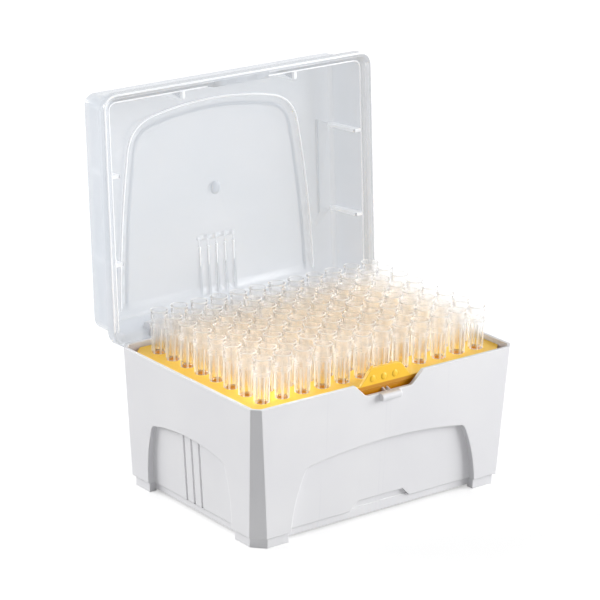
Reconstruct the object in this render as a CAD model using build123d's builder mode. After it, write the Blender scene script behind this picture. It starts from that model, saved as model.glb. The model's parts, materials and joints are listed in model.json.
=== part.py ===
from build123d import *
from math import atan, cos, degrees, hypot, pi, radians, sin, sqrt
import os

# Hinged laboratory box with 96 pipette tips standing in a yellow deck plate.
# Units are millimetres.  +X runs along the long side, -Y is the front with the
# latch, +Y is the hinge side and +Z is up.  The origin is on the ground under
# the middle of the tip grid.  The lid is drawn open, lying back on its stop.

# ---------------------------------------------------------------- tip grid
COLUMNS = 12
ROWS = 8
PITCH = 9.0

# ---------------------------------------------------------------- box body
RIM_LENGTH = 120.4          # outside length at the rim
RIM_WIDTH = 84.0            # outside width at the rim
RIM_HEIGHT = 54.0           # ground to rim
FOOT_HEIGHT = 4.0           # ground to the underside of the body
END_DRAFT = 2.1             # how far each short wall leans in, rim to underside
SIDE_DRAFT = 0.9            # the same for each long wall
BASE_WALL = 1.3
FLOOR = 1.4
RIM_BEVEL = 2.9             # flat corner at the rim
BASE_BEVEL = 4.5            # the same at the underside
BEVEL_SHARE = 0.6           # how fast the flat corner narrows with depth into the wall

# arched panels, sunk into the walls and open at the bottom
SIDE_ARCH_TOP = 36.5        # half width at the shoulders, long wall
SIDE_ARCH_FOOT = 42.8       # half width at the underside
SIDE_ARCH_SHOULDER = 27.6   # height of the shoulders above the ground
SIDE_ARCH_CROWN = 30.8
SIDE_PANEL_TOP = 2.2        # depth of the panel at its shoulders
SIDE_PANEL_FOOT = 2.9       # depth at the underside
END_ARCH_TOP = 22.2         # the same five sizes for the short wall
END_ARCH_FOOT = 26.0
END_ARCH_SHOULDER = 28.4
END_ARCH_CROWN = 31.2
END_PANEL_TOP = 1.8
END_PANEL_FOOT = 2.6
ARCH_BULGE = 1.3            # how far the legs of an arch bow outwards
ARCH_CORNER = 3.0

# small sunk field at the foot of each long panel
FIELD_FOOT = 13.9           # half width at the underside
FIELD_TOP = 10.5            # half width at its top
FIELD_HEIGHT = 3.4
FIELD_DEPTH = 1.2
FIELD_ROUND = 0.8

# upright grooves in the short panels
GROOVES = 3
GROOVE_PITCH = 4.7
GROOVE_WIDTH = 1.1
GROOVE_DEPTH = 0.6

# feet and the plinth wall between them
FOOT_INSET = 1.0
FOOT_LENGTH = 14.0          # along the long wall
FOOT_WIDTH = 13.5           # along the short wall
FOOT_WALL = 3.0
PLINTH_INSET = 0.9          # behind the foot of the panels
PLINTH_CLEARANCE = 1.0      # plinth to the ground
PLINTH_WALL = 1.3

# notch in the front rim, with the thumb nub under it
NOTCH_TOP = 15.7            # half width at the rim
NOTCH_FOOT = 10.4           # half width at its bottom
NOTCH_DEPTH = 5.0
NOTCH_ROUND = 2.0
NUB_LENGTH = 8.8
NUB_HEIGHT = 2.8
NUB_REACH = 2.1             # how far it stands out of the wall
NUB_ROUND = 1.2

# ---------------------------------------------------------------- deck plate
DECK_THICKNESS = 1.5
DECK_SINK = 1.75            # deck top below the rim
DECK_END_CLEARANCE = 0.3    # to the short walls
DECK_SIDE_CLEARANCE = 0.85  # to the long walls
DECK_BEVEL = 6.0
HOLE_CLEARANCE = 0.25       # around the stem of a tip
TAB_FOOT = 11.5             # half width of the finger tab at the deck
TAB_TOP = 6.7
TAB_RISE = 6.0              # above the deck
TAB_THICKNESS = 1.3
TAB_ROUND = 3.0
BUMPS = 3
BUMP_PITCH = 5.1
BUMP_RISE = 2.0             # centre of the bumps above the deck
BUMP_WIDTH = 2.0
BUMP_TALL = 2.4
BUMP_PROUD = 0.3

# ribs inside the body that carry the deck
RIB_REACH = 3.4             # from the wall at the rim
RIB_THICKNESS = 1.2
OUTER_RIB = 28.0            # of each long wall, from the middle
TWIN_RIB_GAP = 2.0          # between the pair of thin ribs in the middle
TWIN_RIB_THICKNESS = 0.7
END_RIB = 20.0              # of each short wall, from the middle

# ---------------------------------------------------------------- tips
COLLAR_SIDES = 8            # flat sides that stand for the round collar
STEM_SIDES = 6              # the same for the stem, the socket and the holes of the deck
COLLAR_HEIGHT = 16.65       # deck to mouth
COLLAR_TOP = 3.35           # this and the five below are radii, over the corners
COLLAR_FOOT = 3.1
SOCKET = 2.5
STEM_TOP = 2.25
STEM_END = 0.45
ORIFICE = 0.25
TIP_LENGTH = 51.0

# ---------------------------------------------------------------- lid
OPEN_ANGLE = 94.0
LID_WALL = 1.3
SKIRT_WALL = 1.5
SKIRT_DEPTH = 2.6           # shoulder to mouth
SHOULDER_CLEARANCE = 0.1    # shoulder to rim when shut
SKIRT_END_CLEARANCE = 0.2   # skirt to rim at the short walls
SKIRT_FRONT_CLEARANCE = 0.45
SHOULDER = 2.57             # width of the step, on the ends and the hinge side
FRONT_SHOULDER = 2.2
LID_END_DRAFT = 1.73
LID_FRONT_DRAFT = 0.3
LID_BACK_DRAFT = 0.1
HEADROOM = 1.8              # tips to the inside of the lid when shut
SKIRT_CORNER = 5.9          # outside; its inside runs round the rim's corner
LID_CORNER = 4.6
LID_EDGE = 2.0              # round edge of the top

# arched field, raised on the top of the lid and hollow inside
CROWN_RISE = 1.1
CROWN_FOOT = 46.0           # half width at the hinge side
CROWN_MIDDLE = 43.7
CROWN_SHOULDER = 38.5
CROWN_FRONT_RISE = 5.1      # of the curved front edge, over its shoulders
CROWN_CORNER = 9.0
CROWN_BAND = 2.6            # sloping band along its edge
CROWN_BACK_INSET = 4.0      # hinge edge of the lid's top to the field
CROWN_FRONT_INSET = 9.9     # front edge of the lid's top to the field
GATE_RADIUS = 2.5
GATE_DEPTH = 0.6

# ribs inside the lid
FIVE_RIBS = 5
FIVE_RIB_PITCH = 4.05
FIVE_RIB_LENGTH = 25.0      # from the inner face of the hinge wall
FIVE_RIB_WIDTH = 0.8
FIVE_RIB_HEIGHT = 0.8
FIVE_RIB_HEAD = 1.1         # radius of the round end
RIB_ROOT = 0.1              # left of the plate's thickness behind a rib
LONG_RIB = 48.6             # from the middle of the lid
LONG_RIB_START = 29.4       # from the hinge side edge of the mouth
LONG_RIB_END = 67.0
SIDE_RIBS = (30.7, 64.0)    # from the hinge side edge of the mouth
SIDE_RIB_REACH = 3.5        # at the step
SIDE_RIB_THICKNESS = 1.2
FIN = 25.8                  # from the middle of the lid
FIN_REACH = 2.7
FIN_THICKNESS = 1.2
TONGUE_FOOT = 12.4          # half width of the latch tongue at the mouth
TONGUE_TOP = 14.0
TONGUE_INSET = 0.4          # tongue to the deck's front edge
SCOOP_RADIUS = 2.2
SCOOP_OFFSET = 4.6

# ---------------------------------------------------------------- hinge
AXIS_ABOVE_MOUTH = 4.5      # of the shut lid
STOP_GAP = 0.4              # open lid to the back wall
SWEEP_GAP = 0.4             # sweep of the lid's lip to the shelf
SHELF_HALF = 51.0
SHELF_THICKNESS = 1.5
SHELF_OVERHANG = 3.3        # behind the hinge axis
SHELF_CORNER = 3.0
GUSSETS = 5
GUSSET_PITCH = 22.0
GUSSET_HEIGHT = 10.0
GUSSET_THICKNESS = 1.4
HINGE_OFFSET = 36.0         # middle of each hinge from the middle of the box
KNUCKLE_LENGTH = 10.8
KNUCKLE_CLEARANCE = 0.3     # knuckle to lug, along the pin
KNUCKLE_RADIUS = 2.6
PIN_RADIUS = 1.25
PIN_CLEARANCE = 0.08
SNAP_SLOT = 2.0             # mouth of the knuckle that snaps over the pin
LUG_THICKNESS = 2.5
LUG_CLEARANCE = 0.45        # lug to the edges of its window in the lid
WINDOW_HEIGHT = 8.2         # from below the lid's mouth to above the lug

# ---------------------------------------------------------------- derived
BODY_HEIGHT = RIM_HEIGHT - FOOT_HEIGHT
FLOOR_TOP = FOOT_HEIGHT + FLOOR
DECK_TOP = RIM_HEIGHT - DECK_SINK
DECK_FOOT = DECK_TOP - DECK_THICKNESS
TIP_MOUTH = DECK_TOP + COLLAR_HEIGHT
EMBED = 0.6                 # how far an added feature reaches into its wall


def half_length(z):
    """Outer half length of the body at height z."""
    return RIM_LENGTH / 2 - END_DRAFT * (RIM_HEIGHT - z) / BODY_HEIGHT


def half_width(z):
    """Outer half width of the body at height z."""
    return RIM_WIDTH / 2 - SIDE_DRAFT * (RIM_HEIGHT - z) / BODY_HEIGHT


DECK_HALF_LENGTH = half_length(DECK_TOP) - BASE_WALL - DECK_END_CLEARANCE
DECK_HALF_WIDTH = half_width(DECK_TOP) - BASE_WALL - DECK_SIDE_CLEARANCE

SHOULDER_BELOW_AXIS = AXIS_ABOVE_MOUTH - SKIRT_DEPTH
LID_FULL_STEP = SHOULDER + LID_WALL
LEAN = radians(OPEN_ANGLE - 90)
AXIS_Y = RIM_WIDTH / 2 + STOP_GAP + LID_FULL_STEP * sin(LEAN) + AXIS_ABOVE_MOUTH * cos(LEAN)
AXIS_Z = RIM_HEIGHT + SHOULDER_CLEARANCE - SKIRT_DEPTH + AXIS_ABOVE_MOUTH
SHELF_TOP = AXIS_Z - hypot(LID_FULL_STEP, AXIS_ABOVE_MOUTH) - SWEEP_GAP
LUG_OFFSET = KNUCKLE_LENGTH / 2 + KNUCKLE_CLEARANCE + LUG_THICKNESS / 2
HINGE_LUGS = [side * HINGE_OFFSET + end * LUG_OFFSET for side in (-1, 1) for end in (-1, 1)]

# heights in the lid are measured from the hinge axis, towards the lid's top
MOUTH = -AXIS_ABOVE_MOUTH
STEP = -SHOULDER_BELOW_AXIS
LID_CEILING = TIP_MOUTH + HEADROOM - AXIS_Z
LID_TOP = LID_CEILING + LID_WALL
# distances in the lid are measured from the hinge axis, positive backwards
LID_HALF = RIM_LENGTH / 2 + SKIRT_END_CLEARANCE + SKIRT_WALL
LID_BACK = LID_FULL_STEP
LID_FRONT = -(AXIS_Y + RIM_WIDTH / 2 + SKIRT_FRONT_CLEARANCE + SKIRT_WALL)
WALL_FRONT = LID_FRONT + FRONT_SHOULDER + LID_WALL    # inner face of the front wall


# ---------------------------------------------------------------- planes
def panel_plane(across, out, foot, slope):
    """Plane of a sunk panel: across runs along the wall, out points away from it."""
    tilt = atan(slope)
    normal = out * cos(tilt) - Vector(0, 0, 1) * sin(tilt)
    return Plane(origin=out * foot + Vector(0, 0, FOOT_HEIGHT), x_dir=across, z_dir=normal)


def panel_slope(half, shoulder, depth_top, depth_foot):
    """Lean of a panel, from its depth at the shoulders and at the foot."""
    top = half(shoulder) - depth_top
    foot = half(FOOT_HEIGHT) - depth_foot
    return foot, (top - foot) / (shoulder - FOOT_HEIGHT)


SIDE_FOOT, SIDE_SLOPE = panel_slope(half_width, SIDE_ARCH_SHOULDER, SIDE_PANEL_TOP, SIDE_PANEL_FOOT)
END_FOOT, END_SLOPE = panel_slope(half_length, END_ARCH_SHOULDER, END_PANEL_TOP, END_PANEL_FOOT)

SIDE_PANELS = [
    panel_plane(Vector(1, 0, 0), Vector(0, -1, 0), SIDE_FOOT, SIDE_SLOPE),
    panel_plane(Vector(-1, 0, 0), Vector(0, 1, 0), SIDE_FOOT, SIDE_SLOPE),
]
END_PANELS = [
    panel_plane(Vector(0, -1, 0), Vector(-1, 0, 0), END_FOOT, END_SLOPE),
    panel_plane(Vector(0, 1, 0), Vector(1, 0, 0), END_FOOT, END_SLOPE),
]

lid_frame = Plane(
    origin=(0, AXIS_Y, AXIS_Z),
    x_dir=(1, 0, 0),
    z_dir=(0, sin(radians(OPEN_ANGLE)), cos(radians(OPEN_ANGLE))),
)
lid_top_axis = Axis(lid_frame.origin, lid_frame.z_dir)
lid_depth_axis = Axis(lid_frame.origin, lid_frame.y_dir)
lid_side = Plane(origin=lid_frame.origin, x_dir=lid_frame.y_dir, z_dir=(1, 0, 0))


# ---------------------------------------------------------------- profiles
def arch_profile(top, foot, shoulder, crown, grow=0.0):
    """Outline of an arched panel, drawn upwards from the underside of the body."""
    rise = shoulder + grow - FOOT_HEIGHT
    height = crown + grow - FOOT_HEIGHT
    high = top + grow
    low = foot + grow
    middle = (high + low) / 2 + ARCH_BULGE
    with BuildSketch() as outline:
        with BuildLine():
            Line((-low, 0), (low, 0))
            ThreePointArc((low, 0), (middle, rise / 2), (high, rise))
            ThreePointArc((high, rise), (0, height), (-high, rise))
            ThreePointArc((-high, rise), (-middle, rise / 2), (-low, 0))
        make_face()
        fillet(outline.vertices().group_by(Axis.Y)[-1], ARCH_CORNER + grow)
        Rectangle(2 * low, 4 * BASE_WALL, align=(Align.CENTER, Align.MAX))
    return outline.sketch


def field_profile(grow=0.0):
    """Outline of the small field at the foot of a long panel."""
    with BuildSketch() as outline:
        with BuildLine():
            Polyline(
                (-FIELD_FOOT - grow, -EMBED),
                (FIELD_FOOT + grow, -EMBED),
                (FIELD_FOOT + grow, 0),
                (FIELD_TOP + grow, FIELD_HEIGHT + grow),
                (-FIELD_TOP - grow, FIELD_HEIGHT + grow),
                (-FIELD_FOOT - grow, 0),
                close=True,
            )
        make_face()
        fillet(outline.vertices().group_by(Axis.Y)[-1], FIELD_ROUND)
    return outline.sketch


def side_arch(grow=0.0):
    """Arch of a long wall."""
    return arch_profile(SIDE_ARCH_TOP, SIDE_ARCH_FOOT, SIDE_ARCH_SHOULDER, SIDE_ARCH_CROWN, grow)


def end_arch(grow=0.0):
    """Arch of a short wall."""
    return arch_profile(END_ARCH_TOP, END_ARCH_FOOT, END_ARCH_SHOULDER, END_ARCH_CROWN, grow)


def draft_angle(lean, height):
    """Draft in degrees of a wall that leans by so much over its height."""
    return degrees(atan(lean / height))


def body_block(depth, inset=0.0):
    """Block of the body from the rim down, with flat corners and every side drafted."""
    rim = Plane.XY.offset(RIM_HEIGHT)
    corner_draft = (END_DRAFT + SIDE_DRAFT + BASE_BEVEL - RIM_BEVEL) / sqrt(2)
    with BuildPart() as block:
        with BuildSketch(rim) as plan:
            Rectangle(RIM_LENGTH - 2 * inset, RIM_WIDTH - 2 * inset)
            chamfer(plan.vertices(), RIM_BEVEL - BEVEL_SHARE * inset)
        extrude(amount=-depth)
        corners = block.faces().filter_by(Axis.X, reverse=True).filter_by(Axis.Y, reverse=True)
        draft(corners.filter_by(Axis.Z, reverse=True), rim, -draft_angle(corner_draft, BODY_HEIGHT))
        draft(block.faces().filter_by(Axis.X), rim, -draft_angle(END_DRAFT, BODY_HEIGHT))
        draft(block.faces().filter_by(Axis.Y), rim, -draft_angle(SIDE_DRAFT, BODY_HEIGHT))
    return block.part


def lid_block(foot, top, inset=0.0):
    """Block of the lid between two heights above the hinge axis, drafted and rounded."""
    half = LID_HALF - SHOULDER - inset
    front = LID_FRONT + FRONT_SHOULDER + inset
    back = LID_BACK - SHOULDER - inset
    step = lid_frame.offset(STEP)
    height = LID_TOP - STEP
    with BuildPart() as block:
        with BuildSketch(lid_frame.offset(foot)):
            with Locations((0, (front + back) / 2)):
                Rectangle(2 * half, back - front)
        extrude(amount=top - foot)
        for across, end, lean in (
            (Axis.X, 0, LID_END_DRAFT),
            (Axis.X, -1, LID_END_DRAFT),
            (lid_depth_axis, 0, LID_FRONT_DRAFT),
            (lid_depth_axis, -1, LID_BACK_DRAFT),
        ):
            draft(block.faces().sort_by(across)[end], step, draft_angle(lean, height))
        fillet(block.edges().group_by(lid_top_axis)[1], LID_CORNER - inset)
        fillet(block.faces().sort_by(lid_top_axis)[-1].edges(), LID_EDGE)
    return block.part


def crown_profile(h, inset=0.0):
    """Arched field of the lid at height h, drawn from the hinge side towards the front."""
    back = LID_BACK - SHOULDER - LID_BACK_DRAFT - CROWN_BACK_INSET - inset
    front = LID_FRONT + FRONT_SHOULDER + LID_FRONT_DRAFT + CROWN_FRONT_INSET + inset
    shoulder = front + CROWN_FRONT_RISE
    foot = CROWN_FOOT - inset
    middle = CROWN_MIDDLE - inset
    high = CROWN_SHOULDER - inset
    with BuildSketch(lid_frame.offset(h)) as outline:
        with BuildLine():
            Line((-foot, back), (foot, back))
            ThreePointArc((foot, back), (middle, (back + shoulder) / 2), (high, shoulder))
            ThreePointArc((high, shoulder), (0, front), (-high, shoulder))
            ThreePointArc((-high, shoulder), (-middle, (back + shoulder) / 2), (-foot, back))
        make_face()
        fillet(outline.vertices().group_by(Axis.Y)[0], CROWN_CORNER - inset)
    return outline.sketch


# ================================================================ base
# hollow of the body, with the backs of the panels and the deck ribs left standing
with BuildPart() as hollow:
    add(body_block(RIM_HEIGHT - FLOOR_TOP, BASE_WALL))
    for panel in SIDE_PANELS:
        with BuildSketch(panel.offset(-BASE_WALL)):
            add(side_arch(BASE_WALL))
        extrude(amount=RIM_WIDTH / 4, mode=Mode.SUBTRACT)
        with BuildSketch(panel.offset(-BASE_WALL - FIELD_DEPTH)):
            add(field_profile(BASE_WALL))
        extrude(amount=RIM_WIDTH / 4, mode=Mode.SUBTRACT)
    for panel in END_PANELS:
        with BuildSketch(panel.offset(-BASE_WALL)):
            add(end_arch(BASE_WALL))
        extrude(amount=RIM_WIDTH / 4, mode=Mode.SUBTRACT)
    rib_height = DECK_FOOT - FLOOR_TOP
    rib_y = half_width(RIM_HEIGHT) - BASE_WALL
    rib_x = half_length(RIM_HEIGHT) - BASE_WALL
    with Locations((0, 0, FLOOR_TOP)):
        with GridLocations(2 * OUTER_RIB, 2 * rib_y, 2, 2):
            Box(RIB_THICKNESS, 2 * RIB_REACH, rib_height, mode=Mode.SUBTRACT,
                align=(Align.CENTER, Align.CENTER, Align.MIN))
        with GridLocations(TWIN_RIB_GAP, 2 * rib_y, 2, 2):
            Box(TWIN_RIB_THICKNESS, 2 * RIB_REACH, rib_height, mode=Mode.SUBTRACT,
                align=(Align.CENTER, Align.CENTER, Align.MIN))
        with GridLocations(2 * rib_x, 2 * END_RIB, 2, 2):
            Box(2 * RIB_REACH, RIB_THICKNESS, rib_height, mode=Mode.SUBTRACT,
                align=(Align.CENTER, Align.CENTER, Align.MIN))

with BuildPart() as base:
    add(body_block(BODY_HEIGHT))

    # arched panels
    for panel in SIDE_PANELS:
        with BuildSketch(panel):
            add(side_arch())
        extrude(amount=RIM_WIDTH / 4, mode=Mode.SUBTRACT)
        with BuildSketch(panel.offset(-FIELD_DEPTH)):
            add(field_profile())
        extrude(amount=RIM_WIDTH / 4, mode=Mode.SUBTRACT)
    for panel in END_PANELS:
        with BuildSketch(panel):
            add(end_arch())
        extrude(amount=RIM_WIDTH / 4, mode=Mode.SUBTRACT)
        with BuildSketch(panel.offset(-GROOVE_DEPTH)):
            with GridLocations(GROOVE_PITCH, 1, GROOVES, 1):
                Rectangle(GROOVE_WIDTH, END_ARCH_CROWN - FOOT_HEIGHT, align=(Align.CENTER, Align.MIN))
        extrude(amount=GROOVE_DEPTH + EMBED, mode=Mode.SUBTRACT)
    add(hollow.part, mode=Mode.SUBTRACT)

    # notch in the front rim
    with BuildSketch(Plane.XZ.offset(RIM_WIDTH / 2 - 2 * BASE_WALL)) as notch:
        with BuildLine():
            Polyline(
                (-NOTCH_FOOT, RIM_HEIGHT - NOTCH_DEPTH),
                (NOTCH_FOOT, RIM_HEIGHT - NOTCH_DEPTH),
                (NOTCH_TOP, RIM_HEIGHT),
                (NOTCH_TOP, RIM_HEIGHT + EMBED),
                (-NOTCH_TOP, RIM_HEIGHT + EMBED),
                (-NOTCH_TOP, RIM_HEIGHT),
                close=True,
            )
        make_face()
        fillet(notch.vertices().group_by(Axis.Y)[0], NOTCH_ROUND)
    extrude(amount=3 * BASE_WALL, mode=Mode.SUBTRACT)

    # thumb nub, carried by the pair of thin ribs that pass under the deck
    nub_front = half_width(DECK_FOOT) + NUB_REACH
    with BuildSketch(Plane.YZ) as nub:
        with Locations((-nub_front, DECK_FOOT)):
            Rectangle(NUB_REACH + EMBED, NUB_HEIGHT, align=(Align.MIN, Align.MAX))
        fillet(nub.vertices().group_by(Axis.X)[0], NUB_ROUND)
    extrude(amount=NUB_LENGTH / 2, both=True)
    with BuildSketch(Plane.XZ.offset(rib_y - RIB_REACH)):
        with Locations((0, DECK_FOOT)):
            with GridLocations(TWIN_RIB_GAP, 1, 2, 1):
                Rectangle(TWIN_RIB_THICKNESS, NUB_HEIGHT, align=(Align.CENTER, Align.MAX))
    extrude(amount=RIB_REACH + BASE_WALL + EMBED)

    # feet at the corners and the plinth wall between them
    foot_x = half_length(FOOT_HEIGHT) - FOOT_INSET
    foot_y = half_width(FOOT_HEIGHT) - FOOT_INSET
    with BuildSketch() as feet:
        Rectangle(2 * foot_x, 2 * foot_y)
        chamfer(feet.vertices(), BASE_BEVEL)
        offset(amount=-FOOT_WALL, mode=Mode.SUBTRACT)
        Rectangle(2 * (foot_x - FOOT_LENGTH), 2 * RIM_WIDTH, mode=Mode.SUBTRACT)
        Rectangle(2 * RIM_LENGTH, 2 * (foot_y - FOOT_WIDTH), mode=Mode.SUBTRACT)
    extrude(amount=FOOT_HEIGHT + EMBED)
    with BuildSketch(Plane.XY.offset(PLINTH_CLEARANCE)):
        Rectangle(2 * (END_FOOT - PLINTH_INSET), 2 * (SIDE_FOOT - PLINTH_INSET))
        offset(amount=-PLINTH_WALL, mode=Mode.SUBTRACT)
    extrude(amount=FOOT_HEIGHT + EMBED - PLINTH_CLEARANCE)

    # hinge shelf behind the back wall, on gussets
    wall_back = half_width(SHELF_TOP)
    shelf_back = AXIS_Y + SHELF_OVERHANG
    with BuildSketch(Plane.XY.offset(SHELF_TOP)) as shelf:
        with Locations((0, wall_back - EMBED)):
            Rectangle(2 * SHELF_HALF, shelf_back - wall_back + EMBED, align=(Align.CENTER, Align.MIN))
        fillet(shelf.vertices().group_by(Axis.Y)[-1], SHELF_CORNER)
    extrude(amount=-SHELF_THICKNESS)
    gusset_top = SHELF_TOP - SHELF_THICKNESS / 2
    gusset_back = AXIS_Y + SHELF_OVERHANG / 2
    with BuildSketch(*[Plane.YZ.offset((n - (GUSSETS - 1) / 2) * GUSSET_PITCH) for n in range(GUSSETS)]):
        with BuildLine():
            Polyline(
                (wall_back - EMBED, gusset_top),
                (gusset_back, gusset_top),
                (gusset_back, gusset_top - SHELF_THICKNESS),
                (half_width(gusset_top - GUSSET_HEIGHT), gusset_top - GUSSET_HEIGHT),
                (half_width(gusset_top - GUSSET_HEIGHT) - EMBED, gusset_top - GUSSET_HEIGHT),
                close=True,
            )
        make_face()
    extrude(amount=GUSSET_THICKNESS / 2, both=True)

    # lugs on the shelf and the pins between them
    with BuildSketch(*[Plane.YZ.offset(x) for x in HINGE_LUGS]):
        with Locations((AXIS_Y, AXIS_Z)):
            Circle(KNUCKLE_RADIUS)
            Rectangle(2 * KNUCKLE_RADIUS, AXIS_Z - SHELF_TOP + EMBED, align=(Align.CENTER, Align.MAX))
    extrude(amount=LUG_THICKNESS / 2, both=True)
    with BuildSketch(*[Plane.YZ.offset(side * HINGE_OFFSET) for side in (-1, 1)]):
        with Locations((AXIS_Y, AXIS_Z)):
            Circle(PIN_RADIUS)
    extrude(amount=LUG_OFFSET, both=True)

# ================================================================ tray
HOLE_RADIUS = STEM_TOP + HOLE_CLEARANCE

with BuildPart() as tray:
    with BuildSketch(Plane.XY.offset(DECK_FOOT)) as deck:
        Rectangle(2 * DECK_HALF_LENGTH, 2 * DECK_HALF_WIDTH)
        chamfer(deck.vertices(), DECK_BEVEL)
        with GridLocations(PITCH, PITCH, COLUMNS, ROWS):
            RegularPolygon(HOLE_RADIUS, STEM_SIDES, mode=Mode.SUBTRACT)
    extrude(amount=DECK_THICKNESS)

    # finger tab at the front edge
    with BuildSketch(Plane.XZ.offset(DECK_HALF_WIDTH - TAB_THICKNESS)) as tab:
        with BuildLine():
            Polyline(
                (-TAB_FOOT, DECK_FOOT),
                (TAB_FOOT, DECK_FOOT),
                (TAB_FOOT, DECK_TOP),
                (TAB_TOP, DECK_TOP + TAB_RISE),
                (-TAB_TOP, DECK_TOP + TAB_RISE),
                (-TAB_FOOT, DECK_TOP),
                close=True,
            )
        make_face()
        fillet(tab.vertices().group_by(Axis.Y)[-1], TAB_ROUND)
    extrude(amount=TAB_THICKNESS)
    with BuildSketch(Plane.XZ.offset(DECK_HALF_WIDTH)):
        with Locations((0, DECK_TOP + BUMP_RISE)):
            with GridLocations(BUMP_PITCH, 1, BUMPS, 1):
                Ellipse(BUMP_WIDTH / 2, BUMP_TALL / 2)
    extrude(amount=BUMP_PROUD)

# ================================================================ tips
STEM_LENGTH = TIP_LENGTH - COLLAR_HEIGHT
deck_plane = Plane.XY.offset(DECK_TOP)
mouth_plane = Plane.XY.offset(TIP_MOUTH)


def tip_block(plane, sides, corner, length, lean):
    """Tapered prism from a plane: corner radius there, and by how much it shrinks at the far end."""
    with BuildPart() as block:
        with BuildSketch(plane):
            RegularPolygon(corner, sides)
        extrude(amount=length)
        draft(block.faces().filter_by(Axis.Z, reverse=True), plane,
              draft_angle(lean * cos(pi / sides), length))
    return block.part


with BuildPart() as tip:
    add(tip_block(deck_plane, STEM_SIDES, STEM_TOP, -STEM_LENGTH, STEM_TOP - STEM_END))
    add(tip_block(deck_plane, COLLAR_SIDES, COLLAR_FOOT, COLLAR_HEIGHT, COLLAR_FOOT - COLLAR_TOP))
    add(tip_block(mouth_plane, STEM_SIDES, SOCKET, -TIP_LENGTH, SOCKET - ORIFICE),
        mode=Mode.SUBTRACT)

# ================================================================ lid
WALL_BACK = LID_BACK - SHOULDER - LID_WALL            # inner face of the hinge wall
WALL_END = LID_HALF - SHOULDER - LID_WALL             # inner face of an end wall, at the step

# hollow of the lid, with the ribs of its side walls and the fins left standing
with BuildPart() as lid_hollow:
    add(lid_block(MOUTH, LID_CEILING, LID_WALL))
    with BuildSketch(lid_frame.offset(STEP)):
        for distance in SIDE_RIBS:
            with Locations((0, LID_BACK - distance)):
                with GridLocations(2 * WALL_END, 1, 2, 1):
                    Rectangle(2 * SIDE_RIB_REACH, SIDE_RIB_THICKNESS)
    extrude(amount=LID_CEILING - STEP, mode=Mode.SUBTRACT)
    with BuildSketch(*[lid_side.offset(side * FIN) for side in (-1, 1)]):
        with BuildLine():
            Polyline(
                (WALL_FRONT - EMBED, STEP),
                (WALL_FRONT + FIN_REACH, STEP),
                (WALL_FRONT, LID_CEILING - LID_EDGE),
                (WALL_FRONT - EMBED, LID_CEILING - LID_EDGE),
                close=True,
            )
        make_face()
    extrude(amount=FIN_THICKNESS / 2, both=True, mode=Mode.SUBTRACT)

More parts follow.
